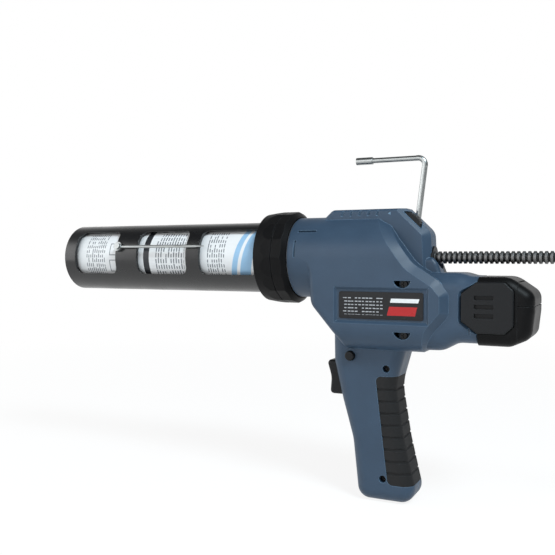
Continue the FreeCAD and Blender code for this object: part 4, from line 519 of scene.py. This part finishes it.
def soft_polygon(angle, normals, distances, sharpness):
    """Distance from the centre to a polygon's side at each angle: the sum, to a high power, of how far the
    direction goes towards each side, so that the corners are round."""
    toward = np.maximum(np.cos(angle[:, None] - np.asarray(normals)), 0) / np.asarray(distances)
    return np.sum(toward ** sharpness, axis=1) ** (-1 / sharpness)


def side_pad(centre, face_y, thickness, normals, distances, sharpness, rings, around):
    """A thin pad on a face towards -Y: rings of a soft polygon shrink to the middle, the front is crowned by
    the eighth power of the ring's share, and the back is flat on the face. The print place is in
    millimetres."""
    angle = np.arange(around) / around * TURN
    reach = soft_polygon(angle, normals, distances, sharpness)
    share = np.linspace(0, 1, rings + 1)[1:, None]
    across, upward = share * reach * np.cos(angle), share * reach * np.sin(angle)
    crown_y = -thickness * (1 - 0.4 * share ** 8)
    front = np.stack(np.broadcast_arrays(across, crown_y, upward), axis=-1)
    back = front[::-1] * np.array([1, 0, 1])
    flat = np.concatenate([front, back]).reshape(-1, 3)
    poles = np.array([[0, -thickness, 0], [0, 0, 0]])
    points = np.concatenate([flat, poles]) + np.array([centre[0], face_y, centre[1]])
    quads = corners(2 * rings, around, False)
    first, last = np.arange(around), np.arange(around) + (2 * rings - 1) * around
    crown = np.stack([np.full(around, len(flat)), first, np.roll(first, -1)], axis=-1)
    base = np.stack([np.full(around, len(flat) + 1), np.roll(last, -1), last], axis=-1)
    faces = quads.tolist() + crown.tolist() + base.tolist()
    order = np.concatenate([quads.ravel(), crown.ravel(), base.ravel()])
    prints = (points[order][:, [0, 2]] - np.asarray(centre)) / MM
    return points, faces, prints


# Operators

class FinishHousing(bpy.types.Operator):
    """Gives the blue shells their moulded finish"""
    bl_idname = "caulking_tool.finish_housing"
    bl_label = "Finish Housing"

    def execute(self, context):
        look = context.scene.caulking_housing
        # The strong lift of 0.9 paints an edge highlight over the rubbed wear of the shells.
        material = moulded_plastic("slate blue shell", look.colour, look.edge_colour, look.roughness,
                                   look.grain, look.grain_depth, look.specular, rounding=0.8 * MM, lift=0.9)
        dress(material, "housing_left", "housing_right")
        return {"FINISHED"}


class FinishPlastics(bpy.types.Operator):
    """Gives the black coat, plastics and rubber their finish"""
    bl_idname = "caulking_tool.finish_plastics"
    bl_label = "Finish Plastics"

    def execute(self, context):
        look = context.scene.caulking_plastic
        self.coat(look, "satin tube coat", look.tube_colour, "holder_tube",
                  roughness=0.27, depth=0.006 * MM, specular=0.6, lift=0.25)
        self.coat(look, "collar moulding", look.collar_colour, "collar_nut",
                  roughness=0.5, depth=0.02 * MM, specular=0.1, lift=0.3)
        self.coat(look, "black moulding", look.black_colour,
                  "rack_knob", "rear_bush", "motor_cap", "terminal_block", "latch_button_left",
                  "latch_button_right", "trigger", "switch_body", "direction_bar", "speed_dial", "rack_rest",
                  roughness=0.42, depth=0.015 * MM, specular=0.2, lift=0.35)
        self.coat(look, "battery moulding", look.battery_colour, "battery_case", "battery_cap",
                  roughness=0.42, depth=0.015 * MM, specular=0.12, lift=0.35)
        self.coat(look, "grip rubber", look.rubber_colour, "grip_pad",
                  roughness=0.7, grain=1.0 * MM, depth=0.05 * MM, specular=0.3, lift=0.2)
        return {"FINISHED"}

    def coat(self, look, name, colour, *nodes, grain=None, **finish):
        """One black finish with the shared edge colour and, unless it has its own, the shared grain."""
        dress(moulded_plastic(name, colour, look.edge_colour, grain=grain or look.grain, **finish), *nodes)


class FinishMetals(bpy.types.Operator):
    """Gives the hook, needle, rack, screws and drive their metal finish"""
    bl_idname = "caulking_tool.finish_metals"
    bl_label = "Finish Metals"

    def execute(self, context):
        look = context.scene.caulking_metal
        along, fine = (60.0, 2500.0, 2500.0), (1800.0, 1800.0, 1800.0)
        dress(worked_metal("bright zinc", look.zinc_colour, roughness=0.32, stretch=(40.0, 90.0, 90.0),
                           worn_colour=shade(look.zinc_colour, 1.1), rounding=0.1 * MM, lift=0.2,
                           relief=0.002 * MM),
              "hanging_hook", "piercing_needle", "needle_rivet")
        # The rack gets painted shade 1.6 mm deep in its grooves.
        dress(worked_metal("rack steel", look.rack_colour, roughness=0.5, stretch=(900.0, 300.0, 300.0),
                           worn_colour=look.steel_colour, lift=0.4, groove_shade_depth=1.6 * MM),
              "rack")
        self.polish("ground steel", look.steel_colour, 0.3, along,
                    "plunger_disc", "plunger_screw", "drive_pinion", "drive_gear", "pinion_shaft",
                    "lay_pinion", "bevel_gear", "lay_shaft", "bevel_pinion", "ring_gear", "planet_carrier",
                    "sun_gear", "planet_gear_1", "planet_gear_2", "planet_gear_3", "motor_can", "motor_rotor",
                    "trigger_spring", "frame_plate_left", "frame_plate_right", "frame_posts")
        # Screws at a tenth of the steel's brightness: black oxide, and painted shade of the recesses they sit
        # in.
        dress(worked_metal("screw steel", shade(look.steel_colour, 0.1), roughness=0.5, stretch=fine,
                           worn_colour=shade(look.steel_colour, 0.2)),
              "housing_screws")
        self.polish("bearing bronze", look.bronze_colour, 0.38, fine,
                    "front_bush", "output_bush", "pinion_bushes", "lay_bushes")
        self.polish("cast alloy", look.cast_colour, 0.5, fine, "front_socket", "gearbox_case")
        self.polish("contact copper", look.copper_colour, 0.28, along, "battery_blades")
        return {"FINISHED"}

    def polish(self, name, colour, roughness, stretch, *nodes):
        """One metal whose edges are a fifth paler."""
        dress(worked_metal(name, colour, roughness, stretch, shade(colour, 1.2)), *nodes)


class FinishFilling(bpy.types.Operator):
    """Gives the cartridge, its piston and the wrapped cells their finish"""
    bl_idname = "caulking_tool.finish_filling"
    bl_label = "Finish Filling"

    def execute(self, context):
        paper = context.scene.caulking_print.paper_colour
        dress(moulded_plastic("cartridge white", paper, shade(paper, 1.1),
                              roughness=0.4, grain=0.8 * MM, depth=0.006 * MM),
              "cartridge_body", "cartridge_piston")
        dress(moulded_plastic("cell wrap", srgb(64, 148, 116), srgb(120, 190, 160),
                              roughness=0.3, grain=1.2 * MM, depth=0.01 * MM),
              "battery_cells")
        return {"FINISHED"}


class AddCartridgeSleeve(bpy.types.Operator):
    """Wraps the cartridge in its printed sleeve"""
    bl_idname = "caulking_tool.add_cartridge_sleeve"
    bl_label = "Add Cartridge Sleeve"

    def execute(self, context):
        look = context.scene.caulking_print
        # Left, right, low and high side of each layer in millimetres of the sleeve
        layers = [
            (look.ink_colour, columns(15, 36, -22, 24, pitch=2.2, fill=0.4, word=4.2)),
            (look.ink_colour, outline(41, 50, 2, 13, width=0.7)),
            (look.ink_colour, outline(41, 50, -13, -2, width=0.7)),
            (look.ring_colour, block(78, 84, -80, 80)),
            (look.ink_colour, columns(91, 120, -22, 24, pitch=2.6, fill=0.4, word=5.0)),
            (look.ink_colour, columns(142, 160, -22, 24, pitch=2.2, fill=0.4, word=4.2)),
            (look.band_colour, block(168, 173, -24, 26, slant=0.25)),
            (look.band_colour, block(176, 186, -24, 26, slant=0.25)),
        ]
        material = printed_film("cartridge print", look.paper_colour, 0.34, 0.4, layers)
        inner = CARTRIDGE_RADIUS + SLEEVE_GAP
        points, faces, prints = ring_sleeve(SLEEVE_START, SLEEVE_END, inner, inner + look.sleeve_thickness,
                                            around=192, along=24)
        new_piece("cartridge_sleeve", points, faces, prints, material, "barrel", True)
        return {"FINISHED"}


class AddPlatePrint(bpy.types.Operator):
    """Lays a printed film on the side plate"""
    bl_idname = "caulking_tool.add_plate_print"
    bl_label = "Add Plate Print"

    def execute(self, context):
        look = context.scene.caulking_print
        half_length = (PLATE_HIGH.x - PLATE_LOW.x) / 2 - PLATE_MARGIN
        half_height = (PLATE_HIGH.z - PLATE_LOW.z) / 2 - PLATE_MARGIN
        centre = ((PLATE_LOW.x + PLATE_HIGH.x) / 2, (PLATE_LOW.z + PLATE_HIGH.z) / 2)
        # Left, right, low and high side of each layer in millimetres from the plate's middle
        layers = [
            (look.row_colour, rows(-29, 2, -7.0, 6.5, pitch=2.5, fill=0.3, word=2.8)),
            (look.accent_colour, block(7, 28, -7.0, -0.5, slant=0.25)),
            (look.paper_colour, block(7, 28, 2.5, 5.5, slant=0.25)),
        ]
        material = printed_film("plate print", look.plate_colour, 0.3, 0.25, layers)
        points, faces, prints = side_pad(centre, PLATE_LOW.y, look.film_thickness, np.arange(4) * TURN / 4,
                                         (half_length, half_height, half_length, half_height),
                                         sharpness=24, rings=6, around=160)
        new_piece("plate_print", points, faces, prints, material, "housing", False)
        dress(moulded_plastic("plate gloss", look.plate_colour, shade(look.plate_colour, 2.5),
                              roughness=0.3, grain=0.8 * MM, depth=0.006 * MM, specular=0.25), "name_plate")
        return {"FINISHED"}


class AddSpineMark(bpy.types.Operator):
    """Adds the small pale pointer on the spine's side"""
    bl_idname = "caulking_tool.add_spine_mark"
    bl_label = "Add Spine Mark"

    def execute(self, context):
        look = context.scene.caulking_print
        material = printed_film("spine mark", shade(look.band_colour, 0.5), 0.4, 0.3, [])
        points, faces, prints = side_pad((look.mark_x, look.mark_z), SPINE_SIDE, look.film_thickness,
                                         np.arange(3) * TURN / 3, np.full(3, look.mark_size),
                                         sharpness=14, rings=4, around=96)
        new_piece("spine_mark", points, faces, prints, material, "housing", False)
        return {"FINISHED"}


class SetStage(bpy.types.Operator):
    """Adds the floor, the soft lamps, the surroundings and the camera"""
    bl_idname = "caulking_tool.set_stage"
    bl_label = "Set Stage"

    def execute(self, context):
        look = context.scene.caulking_stage
        context.scene.view_settings.view_transform = "Standard"
        self.lay_floor(context, look)
        self.lay_surroundings(context, look)
        centre = (CAD_BOX[0] + CAD_BOX[1]) / 2
        self.hang_lamp(context, "front lamp", FRONT_LAMP, centre, FRONT_LAMP_SIZE, look.front_power)
        self.hang_lamp(context, "right lamp", RIGHT_LAMP, centre, RIGHT_LAMP_SIZE, look.right_power,
                       look.cool_colour)
        self.hang_lamp(context, "left lamp", LEFT_LAMP, centre, LEFT_LAMP_SIZE, look.left_power)
        self.place_camera(context, look)
        return {"FINISHED"}

    def backdrop_ray(self, bench):
        """One for rays that should see the pale backdrop: from the camera, off metal or through glass."""
        path = bench.add("ShaderNodeLightPath").outputs
        seen = bench.math("MAXIMUM", path["Is Camera Ray"], path["Is Glossy Ray"])
        return bench.math("MAXIMUM", seen, path["Is Transmission Ray"])

    def lay_floor(self, context, look):
        """A flat grid of two parameters just under the object, which fades into the backdrop far away."""
        side = np.linspace(-look.floor_size / 2, look.floor_size / 2, FLOOR_POINTS)
        x, y = np.meshgrid(side, side, indexing="ij")
        points = np.stack([x, y, np.full_like(x, CAD_BOX[0].z - FLOOR_GAP)], axis=-1).reshape(-1, 3)
        index = np.arange(FLOOR_POINTS ** 2).reshape(FLOOR_POINTS, FLOOR_POINTS)
        quads = [index[:-1, :-1], index[1:, :-1], index[1:, 1:], index[:-1, 1:]]
        faces = np.stack(quads, axis=-1).reshape(-1, 4)
        mesh = bpy.data.meshes.new("floor")
        mesh.from_pydata(points.tolist(), [], faces.tolist())
        material = bpy.data.materials.new("pale floor")
        material.use_nodes = True
        material.node_tree.nodes.clear()
        bench = Bench(material.node_tree)
        shaded = bench.add("ShaderNodeBsdfDiffuse", {"Color": opaque(look.floor_colour)}).outputs[0]
        place = bench.add("ShaderNodeTexCoord").outputs["Object"]
        far = bench.vector("LENGTH", place)["Value"]
        glow = bench.ease(far, FADE_START, FADE_END, NEAR_GLOW, 1.0)
        lit = bench.add("ShaderNodeEmission", {"Color": WHITE, "Strength": glow}).outputs[0]
        fade = bench.ease(far, FADE_START, FADE_END, NEAR_SHARE, 1.0)
        share = bench.math("MULTIPLY", self.backdrop_ray(bench), fade)
        mixed = bench.add("ShaderNodeMixShader", {0: share, 1: shaded, 2: lit}).outputs[0]
        bench.add("ShaderNodeOutputMaterial", {"Surface": mixed})
        mesh.materials.append(material)
        floor = bpy.data.objects.new("floor", mesh)
        context.scene.collection.objects.link(floor)

    def lay_surroundings(self, context, look):
        """White for rays that see the backdrop, dimmed overhead and to the right in reflections, and a plain
        soft light for the rest."""
        world = bpy.data.worlds.new("surroundings")
        world.use_nodes = True
        world.node_tree.nodes.clear()
        bench = Bench(world.node_tree)
        toward = bench.add("ShaderNodeTexCoord").outputs["Generated"]
        part = bench.add("ShaderNodeSeparateXYZ", {0: toward}).outputs
        away = bench.math("MAXIMUM", bench.ease(part["Z"], *DIM_ABOVE), bench.ease(part["X"], *DIM_RIGHT))
        mirrored = bench.ease(away, 0.0, 1.0, 1.0, look.ceiling)
        path = bench.add("ShaderNodeLightPath").outputs
        soft = bench.ease(path["Is Glossy Ray"], 0.0, 1.0, look.ambient, mirrored)
        direct = bench.math("MAXIMUM", path["Is Camera Ray"], path["Is Transmission Ray"])
        strength = bench.ease(direct, 0.0, 1.0, soft, 1.0)
        light = bench.add("ShaderNodeBackground", {"Color": WHITE, "Strength": strength}).outputs[0]
        bench.add("ShaderNodeOutputWorld", {"Surface": light})
        context.scene.world = world

    def hang_lamp(self, context, name, place, target, size, power, colour=(1.0, 1.0, 1.0)):
        data = bpy.data.lights.new(name, "AREA")
        data.shape = "SQUARE"
        data.size = size
        data.energy = power
        data.color = colour
        lamp = bpy.data.objects.new(name, data)
        lamp.location = place
        lamp.rotation_euler = (target - place).to_track_quat("-Z", "Y").to_euler()
        context.scene.collection.objects.link(lamp)

    def place_camera(self, context, look):
        """At the right rear quarter on the left side, level with the drive axis."""
        data = bpy.data.cameras.new("view")
        data.sensor_width = 36.0
        data.lens = look.lens
        camera = bpy.data.objects.new("view", data)
        camera.location = CAMERA_PLACE
        level = Vector((-math.sin(CAMERA_AZIMUTH), math.cos(CAMERA_AZIMUTH), 0.0))
        forward = math.cos(CAMERA_DIP) * level - math.sin(CAMERA_DIP) * Vector((0.0, 0.0, 1.0))
        camera.rotation_euler = forward.to_track_quat("-Z", "Y").to_euler()
        context.scene.collection.objects.link(camera)
        context.scene.camera = camera


class CaulkingToolPanel(bpy.types.Panel):
    """Lists the steps and the values of the caulking tool"""
    bl_idname = "VIEW3D_PT_caulking_tool"
    bl_label = "Caulking Tool"
    bl_space_type = "VIEW_3D"
    bl_region_type = "UI"
    bl_category = "Caulking Tool"

    def draw(self, context):
        for step in STEPS:
            self.layout.operator(step.bl_idname)
        for name, group in GROUPS.items():
            box = self.layout.box()
            box.label(text=group.__doc__.rstrip("."))
            for key in group.__annotations__:
                box.prop(getattr(context.scene, name), key)


STEPS = (FinishHousing, FinishPlastics, FinishMetals, FinishFilling, AddCartridgeSleeve, AddPlatePrint,
         AddSpineMark, SetStage)
GROUPS = {
    "caulking_housing": HousingFinish,
    "caulking_plastic": PlasticFinish,
    "caulking_metal": MetalFinish,
    "caulking_print": PrintFinish,
    "caulking_stage": StageSettings,
}


def register():
    for group in GROUPS.values():
        bpy.utils.register_class(group)
    for name, group in GROUPS.items():
        setattr(bpy.types.Scene, name, PointerProperty(type=group))
    for step in STEPS:
        bpy.utils.register_class(step)
    bpy.utils.register_class(CaulkingToolPanel)


def unregister():
    bpy.utils.unregister_class(CaulkingToolPanel)
    for step in reversed(STEPS):
        bpy.utils.unregister_class(step)
    for name, group in GROUPS.items():
        delattr(bpy.types.Scene, name)
        bpy.utils.unregister_class(group)


def main():
    register()
    for step in STEPS:
        getattr(bpy.ops.caulking_tool, step.bl_idname.split(".")[1])()


if __name__ == "__main__":
    main()
